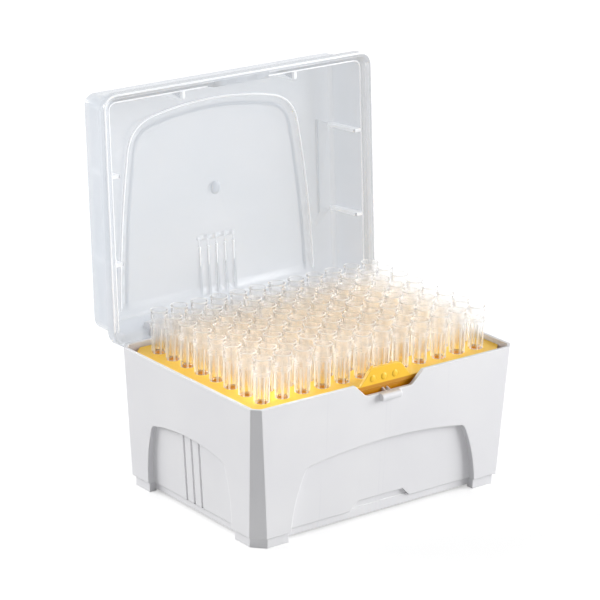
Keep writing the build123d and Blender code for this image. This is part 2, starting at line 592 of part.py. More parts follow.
with BuildPart() as lid:
    add(lid_block(STEP, LID_TOP))

    # skirt that drops over the rim, with the shoulder that rests on it
    with BuildSketch(lid_frame.offset(MOUTH)):
        with Locations((0, (LID_FRONT + LID_BACK) / 2)):
            RectangleRounded(2 * LID_HALF, LID_BACK - LID_FRONT, SKIRT_CORNER)
    extrude(amount=SKIRT_DEPTH + LID_WALL)
    with BuildSketch(lid_frame.offset(MOUTH)):
        with Locations((0, (LID_FRONT + LID_BACK) / 2)):
            RectangleRounded(2 * (LID_HALF - SKIRT_WALL), LID_BACK - LID_FRONT - 2 * SKIRT_WALL,
                             SKIRT_CORNER - SKIRT_WALL)
    extrude(amount=SKIRT_DEPTH, mode=Mode.SUBTRACT)

    # arched field on the top, hollow from the inside, with the gate mark in its middle
    extrude(crown_profile(LID_TOP), amount=CROWN_RISE, dir=lid_frame.z_dir)
    add(lid_hollow.part, mode=Mode.SUBTRACT)
    loft([crown_profile(LID_CEILING, LID_WALL / 2).face(),
          crown_profile(LID_CEILING + CROWN_RISE, LID_WALL / 2 + CROWN_BAND).face()],
         ruled=True, mode=Mode.SUBTRACT)
    with BuildSketch(lid_frame.offset(LID_CEILING + CROWN_RISE)):
        with Locations((0, (WALL_FRONT + WALL_BACK) / 2)):
            Circle(GATE_RADIUS)
    extrude(amount=GATE_DEPTH, mode=Mode.SUBTRACT)

    # five short ribs with round heads, and a long one at each side
    with BuildSketch(lid_frame.offset(LID_CEILING - FIVE_RIB_HEIGHT)):
        with Locations((0, WALL_BACK)):
            with GridLocations(FIVE_RIB_PITCH, 1, FIVE_RIBS, 1):
                Rectangle(FIVE_RIB_WIDTH, FIVE_RIB_LENGTH, align=(Align.CENTER, Align.MAX))
        with Locations((0, WALL_BACK - FIVE_RIB_LENGTH)):
            with GridLocations(FIVE_RIB_PITCH, 1, FIVE_RIBS, 1):
                Circle(FIVE_RIB_HEAD)
        with Locations((0, LID_BACK - (LONG_RIB_START + LONG_RIB_END) / 2)):
            with GridLocations(2 * LONG_RIB, 1, 2, 1):
                Rectangle(FIVE_RIB_WIDTH, LONG_RIB_END - LONG_RIB_START)
    extrude(amount=FIVE_RIB_HEIGHT + LID_WALL - RIB_ROOT)

    # latch tongue that drops into the notch of the rim, with two thumb scoops
    tongue_inner = -(AXIS_Y + DECK_HALF_WIDTH + TONGUE_INSET)
    tongue_plane = Plane(
        origin=lid_frame.from_local_coords((0, tongue_inner, 0)),
        x_dir=(1, 0, 0),
        z_dir=lid_frame.y_dir * -1,
    )
    with BuildSketch(tongue_plane):
        with BuildLine():
            Polyline(
                (-TONGUE_FOOT, MOUTH),
                (TONGUE_FOOT, MOUTH),
                (TONGUE_TOP, STEP),
                (TONGUE_TOP, STEP + LID_WALL),
                (-TONGUE_TOP, STEP + LID_WALL),
                (-TONGUE_TOP, STEP),
                close=True,
            )
        make_face()
        with Locations((0, MOUTH)):
            with GridLocations(2 * SCOOP_OFFSET, 1, 2, 1):
                Circle(SCOOP_RADIUS, mode=Mode.SUBTRACT)
    extrude(amount=tongue_inner - LID_FRONT - SKIRT_WALL / 2)

    # windows for the lugs, and the knuckles that snap over the pins
    with BuildSketch(*[lid_side.offset(x) for x in HINGE_LUGS]):
        with Locations((WALL_BACK - LUG_CLEARANCE, MOUTH - LUG_CLEARANCE)):
            Rectangle(LID_FULL_STEP + 2 * LUG_CLEARANCE,
                      WINDOW_HEIGHT,
                      align=(Align.MIN, Align.MIN))
    extrude(amount=LUG_THICKNESS / 2 + LUG_CLEARANCE, both=True, mode=Mode.SUBTRACT)
    knuckle_planes = [lid_side.offset(side * HINGE_OFFSET) for side in (-1, 1)]
    with BuildSketch(*knuckle_planes):
        Circle(KNUCKLE_RADIUS)
    extrude(amount=KNUCKLE_LENGTH / 2, both=True)
    with BuildSketch(*knuckle_planes):
        Circle(PIN_RADIUS + PIN_CLEARANCE)
        Rectangle(SNAP_SLOT, KNUCKLE_RADIUS + EMBED, align=(Align.CENTER, Align.MAX))
    extrude(amount=KNUCKLE_LENGTH / 2, both=True, mode=Mode.SUBTRACT)

# ================================================================ files
os.makedirs("parts", exist_ok=True)

base.part.label = "base"
export_step(base.part, "parts/base.step")

tray.part.label = "tray"
export_step(tray.part, "parts/tray.step")

lid.part.label = "lid"
export_step(lid.part, "parts/lid.step")

for column in range(COLUMNS):
    node = f"tips_column_{column + 1:02d}"
    with BuildPart() as tips_column:
        with Locations(((column - (COLUMNS - 1) / 2) * PITCH, 0, 0)):
            with GridLocations(1, PITCH, 1, ROWS):
                add(tip.part)
    tips_column.part.label = node
    export_step(tips_column.part, f"parts/{node}.step")
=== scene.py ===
import json
import logging
import math
from dataclasses import dataclass
from enum import Enum

import bmesh
import bpy
import numpy as np
from mathutils import Matrix, Vector


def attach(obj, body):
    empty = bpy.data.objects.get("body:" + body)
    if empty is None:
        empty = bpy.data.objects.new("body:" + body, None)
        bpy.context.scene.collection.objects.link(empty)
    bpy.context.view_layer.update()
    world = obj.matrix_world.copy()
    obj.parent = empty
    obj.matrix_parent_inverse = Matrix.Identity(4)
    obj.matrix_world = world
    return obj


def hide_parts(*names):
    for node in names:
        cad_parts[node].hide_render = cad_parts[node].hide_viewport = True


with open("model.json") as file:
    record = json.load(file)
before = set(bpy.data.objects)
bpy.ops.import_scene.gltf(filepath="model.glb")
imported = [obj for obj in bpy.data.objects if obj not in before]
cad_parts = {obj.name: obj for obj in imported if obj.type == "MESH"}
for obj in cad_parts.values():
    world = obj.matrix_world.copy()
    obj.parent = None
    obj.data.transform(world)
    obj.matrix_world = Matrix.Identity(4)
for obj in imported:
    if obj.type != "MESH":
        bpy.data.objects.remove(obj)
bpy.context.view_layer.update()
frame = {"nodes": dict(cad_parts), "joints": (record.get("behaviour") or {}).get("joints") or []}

LOG = logging.getLogger("tip_box")
MM = 0.001
ROOT = 0.05  # millimetres that a rib or bead starts inside the wall that carries it

Colour = tuple[float, float, float, float]
Socket = bpy.types.NodeSocket


# ---------------------------------------------------------------- helpers
def srgb(red: float, green: float, blue: float) -> Colour:
    """Turn display values of 0 to 255 into a linear colour.

    Args:
        red: Red as it shows on a display.
        green: Green as it shows on a display.
        blue: Blue as it shows on a display.

    Returns:
        The linear colour with full alpha.
    """
    shown = np.array([red, green, blue]) / 255.0
    linear = np.where(shown <= 0.04045, shown / 12.92, ((shown + 0.055) / 1.055) ** 2.4)
    return (*[float(c) for c in linear], 1.0)


def grey(level: float) -> Colour:
    """Give the linear grey with this level in all three colours."""
    return (level, level, level, 1.0)


def mesh_object(
    name: str, points: np.ndarray, faces: list[np.ndarray], smooth_angle: float = 40.0
) -> bpy.types.Object:
    """Make a mesh object at the origin from numpy arrays.

    Args:
        name: Name of the piece.
        points: N by 3 array of positions in metres.
        faces: Index arrays, each with one face a row.
        smooth_angle: Edges that bend by more than this, in degrees, stay sharp.

    Returns:
        The linked object.
    """
    mesh = bpy.data.meshes.new(name)
    sizes = np.concatenate([np.full(len(f), f.shape[1]) for f in faces])
    corners = np.concatenate([f.ravel() for f in faces]).astype(np.int32)
    mesh.vertices.add(len(points))
    mesh.vertices.foreach_set("co", points.astype(np.float32).ravel())
    mesh.loops.add(len(corners))
    mesh.loops.foreach_set("vertex_index", corners)
    mesh.polygons.add(len(sizes))
    mesh.polygons.foreach_set("loop_start", np.concatenate([[0], np.cumsum(sizes)[:-1]]).astype(np.int32))
    mesh.update(calc_edges=True)
    mesh.validate()
    turned = bmesh.new()
    turned.from_mesh(mesh)
    bmesh.ops.recalc_face_normals(turned, faces=turned.faces)
    turned.to_mesh(mesh)
    turned.free()
    mesh.shade_smooth()
    mesh.set_sharp_from_angle(angle=math.radians(smooth_angle))
    piece = bpy.data.objects.new(name, mesh)
    bpy.context.scene.collection.objects.link(piece)
    return piece


def ring_faces(rings: int, around: int) -> np.ndarray:
    """Faces of a grid of rings whose last ring joins the first.

    The corners of a face are a point, the same one on the next ring, and both again one
    step further around.

    Args:
        rings: Number of rings.
        around: Points on a ring.

    Returns:
        Quads, one a row.
    """
    ring, step = np.arange(rings)[:, None] * around, np.arange(around)[None, :]
    following, ahead = np.roll(ring, -1, axis=0), np.roll(step, -1, axis=1)
    return np.stack([ring + step, following + step, following + ahead, ring + ahead], axis=-1).reshape(-1, 4)


def ring_points(radius: np.ndarray, level: np.ndarray, angle: np.ndarray) -> np.ndarray:
    """Points of a surface around an upright axis.

    Across and depth are the radius times the cosine and the sine of the angle.

    Args:
        radius: Radii, a row for each ring.
        level: Height of each ring.
        angle: Angle of each point on a ring, in radians.

    Returns:
        Points, ring by ring.
    """
    radius, level, angle = np.broadcast_arrays(radius, level[:, None], angle[None, :])
    return np.stack([radius * np.cos(angle), radius * np.sin(angle), level], axis=-1).reshape(-1, 3)


class Solids:
    """Closed numpy surfaces, in millimetres, that are gathered into one mesh."""

    def __init__(self) -> None:
        """Start with nothing."""
        self.points: list[np.ndarray] = []
        self.faces: list[np.ndarray] = []
        self.count = 0

    def add(self, points: np.ndarray, faces: list[np.ndarray]) -> None:
        """Add one closed surface.

        Args:
            points: N by 3 array of positions.
            faces: Index arrays, each with one face a row.
        """
        self.points.append(points)
        self.faces += [f + self.count for f in faces]
        self.count += len(points)

    def tube(self, rings: np.ndarray) -> None:
        """Join rings of points into a closed surface with a cap at each end.

        Args:
            rings: Rings by points by 3 array.
        """
        rows, around = rings.shape[:2]
        ring, step = np.arange(rows - 1)[:, None] * around, np.arange(around)[None, :]
        ahead = np.roll(step, -1, axis=1)
        quads = np.stack([ring + step, ring + ahead, ring + around + ahead, ring + around + step], axis=-1)
        caps = np.concatenate([step[:, ::-1], step + (rows - 1) * around])
        self.add(rings.reshape(-1, 3), [quads.reshape(-1, 4), caps])

    def bead(self, path: np.ndarray, up: np.ndarray, half: float, rise: float) -> None:
        """Carry a half ellipse along a path, and round it off at both ends.

        A point of the section is the path plus the sideways direction times the half
        width times a cosine, plus the rise times a sine. Both shrink as a quarter circle
        over one half width at each end.

        Args:
            path: N by 3 array of points on the wall that carries the bead.
            up: Direction away from the wall.
            half: Half width.
            rise: Height; a negative one goes against the direction.
        """
        along = np.gradient(path, axis=0)
        side = np.cross(along / np.linalg.norm(along, axis=1)[:, None], up)
        length = np.concatenate([[0.0], np.cumsum(np.linalg.norm(np.diff(path, axis=0), axis=1))])
        from_end = np.minimum(length, length[-1] - length) / half
        scale = np.sqrt(np.clip(1.0 - (1.0 - np.clip(from_end, 0.0, 1.0)) ** 2, 0.01, 1.0))[:, None, None]
        turn = np.linspace(0.0, np.pi, 11)[None, :, None]
        across = side[:, None, :] * np.cos(turn) * half * scale
        high = up * np.sin(turn) * rise * scale
        self.tube(path[:, None, :] + across + high)

    def dome(
        self, centre: np.ndarray, across: np.ndarray, along: np.ndarray, up: np.ndarray,
        size: tuple[float, float, float],
    ) -> None:
        """Add the cap of an ellipsoid.

        With a latitude from nought at the wall to nearly a right angle at the top, a
        point is the centre plus a circle times the cosine of the latitude, plus the
        height times its sine.

        Args:
            centre: Middle of the foot.
            across: First direction along the wall.
            along: Second direction along the wall.
            up: Direction away from the wall.
            size: Half sizes in those three directions.
        """
        latitude = np.radians(np.linspace(0.0, 87.0, 14))[:, None, None]
        around = np.linspace(0.0, 2 * np.pi, 40, endpoint=False)[None, :, None]
        flat = across * size[0] * np.cos(around) + along * size[1] * np.sin(around)
        self.tube(centre + flat * np.cos(latitude) + up * size[2] * np.sin(latitude))

    def slab(self, outline: np.ndarray, through: np.ndarray) -> None:
        """Push a flat outline through a thickness.

        Args:
            outline: N by 3 array around the face.
            through: Vector from one face to the other.
        """
        self.tube(outline[None, :, :] + through * np.array([0.0, 1.0])[:, None, None])

    def piece(self, name: str) -> bpy.types.Object:
        """Make one object of everything added.

        Args:
            name: Name of the piece.

        Returns:
            The linked object.
        """
        return mesh_object(name, np.concatenate(self.points) * MM, self.faces)


def rounded(corners: np.ndarray, radii: list[float], steps: int = 8) -> np.ndarray:
    """Round the corners of a closed outline.

    Each corner becomes a quadratic curve between two points at its radius from the
    corner, with the corner as the control point.

    Args:
        corners: N by M array of corners.
        radii: Distance from each corner to where its curve starts.
        steps: Points on each curve.

    Returns:
        Points around the outline.
    """
    share = np.linspace(0.0, 1.0, steps)[:, None]
    curves = []
    for here, before, after, radius in zip(
        corners, np.roll(corners, 1, axis=0), np.roll(corners, -1, axis=0), radii
    ):
        start = here + (before - here) / np.linalg.norm(before - here) * radius
        end = here + (after - here) / np.linalg.norm(after - here) * radius
        curve = (1 - share) ** 2 * start + 2 * share * (1 - share) * here + share**2 * end
        curves.append(curve if radius > 0 else here[None, :])
    return np.concatenate(curves)


def bow(start: np.ndarray, middle: np.ndarray, end: np.ndarray, steps: int) -> np.ndarray:
    """Draw the parabola through three points.

    Args:
        start: First point.
        middle: Point halfway along.
        end: Last point.
        steps: Points on the curve.

    Returns:
        Points along the curve.
    """
    t = np.linspace(0.0, 1.0, steps)[:, None]
    return start * (1 - t) * (1 - 2 * t) + middle * 4 * t * (1 - t) + end * t * (2 * t - 1)


def spread(line: np.ndarray, step: float = 1.0) -> np.ndarray:
    """Put even points on an open line.

    Args:
        line: N by 2 array of points.
        step: Distance between the new ones.

    Returns:
        The new points.
    """
    length = np.concatenate([[0.0], np.cumsum(np.linalg.norm(np.diff(line, axis=0), axis=1))])
    places = np.linspace(0.0, length[-1], int(length[-1] / step))
    return np.column_stack([np.interp(places, length, line[:, k]) for k in range(line.shape[1])])


# ---------------------------------------------------------------- wiring
@dataclass(frozen=True)
class Wiring:
    """Adds nodes to a tree and joins them up.

    Args:
        tree: Node tree of a material, a group or the world.
    """

    tree: bpy.types.NodeTree

    def feed(self, value: object, socket: Socket) -> None:
        """Join an input to another socket, or set it to a value.

        Args:
            value: The other socket, or the value.
            socket: The input.
        """
        if isinstance(value, Socket):
            self.tree.links.new(value, socket)
        else:
            socket.default_value = value

    def add(
        self, kind: str, given: dict[str | int, object] | None = None, **options: object
    ) -> bpy.types.Node:
        """Add a node.

        Args:
            kind: Type of the node.
            given: Value or socket for its inputs, by name or place.
            options: The node's own settings.

        Returns:
            The node.
        """
        node = self.tree.nodes.new(kind)
        for option, value in options.items():
            setattr(node, option, value)
        for label, value in (given or {}).items():
            self.feed(value, node.inputs[label])
        return node

    def reckon(self, operation: str, *given: float | Socket) -> Socket:
        """Work out a number.

        Args:
            operation: Name of the operation.
            given: Numbers or sockets that it takes.

        Returns:
            Socket with the result.
        """
        return self.add("ShaderNodeMath", dict(enumerate(given)), operation=operation).outputs["Value"]

    def stretch(
        self, value: Socket, start: tuple[float, float], end: tuple[float, float] = (0.0, 1.0),
        soft: bool = False,
    ) -> Socket:
        """Carry one range of numbers over to another.

        Args:
            value: Socket with the number.
            start: Range that it comes from.
            end: Range that it goes to.
            soft: Whether it eases in and out.

        Returns:
            Socket with the result.
        """
        ranges = {"From Min": start[0], "From Max": start[1], "To Min": end[0], "To Max": end[1]}
        easing = "SMOOTHSTEP" if soft else "LINEAR"
        node = self.add("ShaderNodeMapRange", {"Value": value, **ranges}, interpolation_type=easing)
        return node.outputs["Result"]

    def blended(self, under: Socket | Colour, over: Socket | Colour, mask: Socket) -> Socket:
        """Lay one colour over another where a mask says.

        Args:
            under: The colour below.
            over: The colour on top.
            mask: Share of the colour on top.

        Returns:
            Socket with the result.
        """
        given = {"Factor": mask, "A": under, "B": over}
        return self.add("ShaderNodeMix", given, data_type="RGBA").outputs["Result"]

    def place(self, axis: str) -> Socket:
        """Give one coordinate of the surface, in metres.

        Args:
            axis: X, Y or Z.

        Returns:
            Socket with the coordinate.
        """
        where = self.add("ShaderNodeTexCoord").outputs["Object"]
        return self.add("ShaderNodeSeparateXYZ", {"Vector": where}).outputs[axis]


class SharedEffects:
    """Node groups that more than one finish uses, each built once."""

    def __init__(self) -> None:
        """Build the groups."""
        self.grain = self.build_grain()
        self.edge = self.build_edge()

    @staticmethod
    def start(
        name: str, given: dict[str, float | Colour], made: dict[str, str]
    ) -> tuple[Wiring, bpy.types.NodeOutputs, bpy.types.NodeInputs]:
        """Start a group with its inputs and outputs.

        Args:
            name: Name of the group.
            given: Number or colour of each input.
            made: Kind of each output.

        Returns:
            Its wiring, the sockets with its inputs and those for its outputs.
        """
        tree = bpy.data.node_groups.new(name, "ShaderNodeTree")
        for label, value in given.items():
            kind = "NodeSocketFloat" if isinstance(value, float) else "NodeSocketColor"
            tree.interface.new_socket(name=label, in_out="INPUT", socket_type=kind).default_value = value
        for label, kind in made.items():
            tree.interface.new_socket(name=label, in_out="OUTPUT", socket_type=kind)
        wiring = Wiring(tree)
        return wiring, wiring.add("NodeGroupInput").outputs, wiring.add("NodeGroupOutput").inputs

    def build_grain(self) -> bpy.types.NodeTree:
        """Build the fine texture of a mould wall.

        The height adds a coarse wave of the moulded wall to a fine spark-eroded grain.
        The colour moves a little between two shades with a slow noise, as flow marks do.

        Returns:
            The group, with a colour, a roughness and a height.
        """
        wiring, given, out = self.start(
            "moulded_grain",
            {
                "Colour": grey(0.8), "Shade": grey(0.7), "Roughness": 0.4,
                "Grain Scale": 2200.0, "Flow Scale": 28.0, "Roughness Spread": 0.06, "Wave": 3.0,
            },
            {"Colour": "NodeSocketColor", "Roughness": "NodeSocketFloat", "Height": "NodeSocketFloat"},
        )
        place = wiring.add("ShaderNodeTexCoord").outputs["Object"]
        looks = (
            {"Vector": place, "Scale": given["Grain Scale"], "Detail": 1.0},
            {"Vector": place, "Scale": given["Flow Scale"], "Detail": 2.0},
        )
        fine, slow = [wiring.add("ShaderNodeTexNoise", look).outputs["Fac"] for look in looks]
        flow = wiring.stretch(slow, (0.35, 0.65))
        roughness = wiring.reckon("MULTIPLY_ADD", fine, given["Roughness Spread"], given["Roughness"])
        wiring.feed(wiring.blended(given["Colour"], given["Shade"], flow), out["Colour"])
        wiring.feed(roughness, out["Roughness"])
        wiring.feed(wiring.reckon("MULTIPLY_ADD", slow, given["Wave"], fine), out["Height"])
        return wiring.tree

    def build_edge(self) -> bpy.types.NodeTree:
        """Find the softened edges and corners of a moulding.

        The mask is one less the cosine between the rounded normal and the flat one, times
        a gain, so it is nought on a face and one on an edge, where it paints the
        highlight that a rounded edge catches.

        Returns:
            The group, with the mask of the painted highlight and the rounded normal.
        """
        wiring, given, out = self.start(
            "soft_edge_and_painted_highlight", {"Radius": 0.0004, "Gain": 6.0},
            {"Mask": "NodeSocketFloat", "Normal": "NodeSocketVector"},
        )
        soft = wiring.add("ShaderNodeBevel", {"Radius": given["Radius"]}, samples=8).outputs["Normal"]
        flat = wiring.add("ShaderNodeNewGeometry").outputs["Normal"]
        cosine = wiring.add("ShaderNodeVectorMath", {0: soft, 1: flat}, operation="DOT_PRODUCT")
        bend = wiring.reckon("SUBTRACT", 1.0, cosine.outputs["Value"])
        gain = {0: bend, 1: given["Gain"]}
        mask = wiring.add("ShaderNodeMath", gain, operation="MULTIPLY", use_clamp=True)
        wiring.feed(mask.outputs["Value"], out["Mask"])
        wiring.feed(soft, out["Normal"])
        return wiring.tree


# ---------------------------------------------------------------- finishes
class Clarity(Enum):
    """How much a moulded plastic lets through."""

    SOLID = "solid"
    FROSTED = "frosted"
    CLEAR = "clear"


@dataclass(frozen=True)
class MouldedPlastic:
    """Finish of one injection-moulded plastic.

    Args:
        name: Name of the material.
        colour: Linear colour.
        shade: Linear colour in the flow marks, and the painted shade of the sink lines.
        roughness: Lowest roughness of the surface.
        clarity: How much it lets through.
        grain_height: Height of the grain in metres, on a plastic with soft edges.
        edge_radius: Radius of the softened edges in metres.
        edge_highlight: Painted highlight colour that the edges take.
        painted_shade: Darker colour painted where the plastic sits in shade, or none.
        painted_shade_below: Height in metres under which the painted shade starts.
        painted_sink_lines: Places along the long side with a rib behind the wall, in metres, where shade is
            painted on a sink line.
        body: Share of the light that a clear plastic scatters itself.
        cover: Share of a wall that hides what is behind it, where it is seen face on.
        edge_cover: The same where the wall turns away.
        facing: Blend of the change from one to the other.
        painted_haze: Painted light in which a ray ends, standing for the light of many clear walls behind
            one another.
        most_walls: Turns and crossings after which a ray ends in that painted light.
        glow: Painted light, an emission of the whole wall though it is no lamp.
        bending: Index of refraction.
    """

    name: str
    colour: Colour
    shade: Colour
    roughness: float
    clarity: Clarity = Clarity.SOLID
    grain_height: float = 0.0
    edge_radius: float = 0.0
    edge_highlight: Colour = grey(1.0)
    painted_shade: Colour | None = None
    painted_shade_below: float = 0.0
    painted_sink_lines: tuple[float, ...] = ()
    body: float = 1.0
    cover: float = 1.0
    edge_cover: float = 1.0
    facing: float = 0.35
    painted_haze: Colour = grey(0.0)
    most_walls: tuple[float, float] = (9.5, 6.5)
    glow: Colour = grey(0.0)
    bending: float = 1.49

    def build(self, effects: SharedEffects) -> bpy.types.Material:
        """Build the material.

        Args:
            effects: The shared node groups.

        Returns:
            The finished material.
        """
        material = bpy.data.materials.new(self.name)
        material.use_nodes = True
        wiring = Wiring(material.node_tree)
        shader = material.node_tree.nodes["Principled BSDF"].inputs
        look = {"Colour": self.colour, "Shade": self.shade, "Roughness": self.roughness}
        grain = wiring.add("ShaderNodeGroup", look, node_tree=effects.grain).outputs
        colour, glow = grain["Colour"], self.glow
        # Painted shade: under a height the colour turns darker, for the shade that falls there.
        if self.painted_shade:
            colour = wiring.blended(colour, self.painted_shade, self.below(wiring))
        # Painted shade: the colour darkens over the faint sink line of each rib.
        if self.painted_sink_lines:
            colour = wiring.blended(colour, self.shade, self.sink_line_shade(wiring))
        # Painted highlight: the softened edges take a paler colour.
        if self.edge_radius:
            softened = {"Radius": self.edge_radius}
            edge = wiring.add("ShaderNodeGroup", softened, node_tree=effects.edge).outputs
            colour = wiring.blended(colour, self.edge_highlight, edge["Mask"])
            relief = {"Distance": self.grain_height, "Height": grain["Height"], "Normal": edge["Normal"]}
            wiring.feed(wiring.add("ShaderNodeBump", relief).outputs["Normal"], shader["Normal"])
        # Rays that have crossed too many walls turn black and end in painted light.
        if self.clarity is Clarity.CLEAR:
            lost = self.far_in(wiring)
            colour = wiring.blended(colour, grey(0.0), lost)
            glow = wiring.blended(self.glow, self.painted_haze, lost)
            self.see_through(wiring, lost)
        if self.clarity is Clarity.FROSTED:
            wiring.feed(self.covered(wiring), shader["Alpha"])
        wiring.feed(colour, shader["Base Color"])
        wiring.feed(grain["Roughness"], shader["Roughness"])
        # The glow is painted light: the plastic gives off light though it is no lamp.
        wiring.feed(glow, shader["Emission Color"])
        wiring.feed(1.0, shader["Emission Strength"])
        wiring.feed(self.bending, shader["IOR"])
        return material

    def below(self, wiring: Wiring) -> Socket:
        """Tell how far a point is under the height where the painted shade starts.

        Args:
            wiring: Wiring of the material.

        Returns:
            Socket with nought above and one below.
        """
        return wiring.stretch(wiring.place("Z"), (self.painted_shade_below, self.painted_shade_below - 0.3 * MM), soft=True)

    def sink_line_shade(self, wiring: Wiring) -> Socket:
        """Paint shade on the faint lines that ribs leave on the outside of a wall.

        The distance to the nearest line is the least of the distances to each, and the
        mark fades out over half a millimetre.

        Args:
            wiring: Wiring of the material.

        Returns:
            Socket with one on a line and nought beside it.
        """
        along = wiring.place("X")
        nearest = None
        for line in self.painted_sink_lines:
            away = wiring.reckon("ABSOLUTE", wiring.reckon("SUBTRACT", along, line))
            nearest = wiring.reckon("MINIMUM", nearest, away) if nearest else away
        return wiring.stretch(nearest, (0.5 * MM, 0.0), soft=True)

    def far_in(self, wiring: Wiring) -> Socket:
        """Tell rays that have crossed so many clear walls that they would end in black.

        They end instead in painted light, which stands for the tips behind one another.

        Args:
            wiring: Wiring of the material.

        Returns:
            Socket with one for such a ray.
        """
        path = wiring.add("ShaderNodeLightPath").outputs
        turns, crossings = [
            wiring.reckon("GREATER_THAN", path[count], most)
            for count, most in zip(("Ray Depth", "Transparent Depth"), self.most_walls)
        ]
        return wiring.reckon("MAXIMUM", turns, crossings)

    def covered(self, wiring: Wiring) -> Socket:
        """Give the share of a wall that hides what is behind it, more where it turns away.

        Args:
            wiring: Wiring of the material.

        Returns:
            Socket with the share.
        """
        away = wiring.add("ShaderNodeLayerWeight", {"Blend": self.facing}).outputs["Facing"]
        return wiring.stretch(away, (0.0, 1.0), (self.cover, self.edge_cover))

    def see_through(self, wiring: Wiring, lost: Socket) -> None:
        """Make a clear plastic of the shader, which casts no shadow.

        Args:
            wiring: Wiring of the material.
            lost: Socket with one for a ray that ends here.
        """
        nodes = wiring.tree.nodes
        shader = nodes["Principled BSDF"]
        wiring.feed(wiring.reckon("MAXIMUM", self.covered(wiring), lost), shader.inputs["Alpha"])
        wiring.feed(1.0 - self.body, shader.inputs["Transmission Weight"])
        shadow = wiring.add("ShaderNodeLightPath").outputs["Is Shadow Ray"]
        clear = wiring.add("ShaderNodeBsdfTransparent").outputs["BSDF"]
        choice = wiring.add("ShaderNodeMixShader", {0: shadow, 1: shader.outputs["BSDF"], 2: clear})
        wiring.feed(choice.outputs["Shader"], nodes["Material Output"].inputs["Surface"])


BOX_WHITE = MouldedPlastic(
    "box_white", srgb(232, 232, 234), srgb(228, 228, 231), 0.40,
    # Painted highlight: a paler colour on the softened edges.
    grain_height=0.006 * MM, edge_radius=0.45 * MM, edge_highlight=srgb(248, 248, 249),
    # Painted shade over the sink lines of the ribs behind the long wall.
    painted_sink_lines=(-28 * MM, -1 * MM, 1 * MM, 28 * MM),
)
DECK_YELLOW = MouldedPlastic(
    "deck_yellow", srgb(255, 206, 52), srgb(253, 199, 42), 0.28,
    # Painted highlight: a paler yellow on the softened edges.
    grain_height=0.006 * MM, edge_radius=0.3 * MM, edge_highlight=srgb(255, 218, 90),
    # Painted shade: below the deck's top the yellow turns darker orange, on its edges and on the lip under
    # the tab.
    painted_shade=srgb(204, 136, 8), painted_shade_below=52.15 * MM,
)
# Painted shade and light: a darker orange than the deck for the shade in the holes, with an orange glow.
HOLE_PAINTED_SHADE_GLOW = MouldedPlastic(
    "hole_painted_shade_glow", srgb(198, 132, 6), srgb(192, 126, 4), 0.5, glow=(0.14, 0.075, 0.0, 1.0)
)
# Its glow is painted light that brightens the whole lid evenly.
LID_FROST = MouldedPlastic(
    "lid_frost", srgb(178, 182, 189), srgb(172, 178, 186), 0.12, Clarity.FROSTED,
    cover=0.46, edge_cover=0.88, glow=(0.222, 0.229, 0.237, 1.0),
)
# Painted highlight: a pale plastic with a strong glow, for the bright ribs, fins and lines of the lid.
LID_PAINTED_HIGHLIGHT = MouldedPlastic(
    "lid_painted_highlight", srgb(224, 226, 229), srgb(220, 223, 227), 0.20, Clarity.FROSTED,
    cover=0.82, edge_cover=0.92, glow=grey(0.28),
)
# Rays that cross too many of its walls end in a painted warm light.
TIP_CLEAR = MouldedPlastic(
    "tip_clear", srgb(254, 253, 252), srgb(253, 251, 249), 0.02, Clarity.CLEAR,
    body=0.05, cover=0.50, edge_cover=0.95, painted_haze=srgb(253, 241, 222), bending=1.25,
)
# Painted highlight: a milky plastic with a glow, for the bright lips, rings and ribs of the tips; rays that
# cross too many walls end in a painted warm light.
TIP_PAINTED_HIGHLIGHT = MouldedPlastic(
    "tip_painted_highlight", srgb(250, 250, 250), srgb(246, 246, 247), 0.10, Clarity.CLEAR,
    body=0.80, cover=0.50, edge_cover=0.85, painted_haze=srgb(253, 241, 222), glow=grey(0.10),
)
# Rays that cross too many of the stem's walls end in a painted orange light.
TIP_STEM = MouldedPlastic(
    "tip_stem", srgb(254, 253, 252), srgb(253, 251, 249), 0.02, Clarity.CLEAR,
    body=0.05, cover=0.03, edge_cover=0.10, painted_haze=srgb(222, 152, 30), bending=1.12,
)


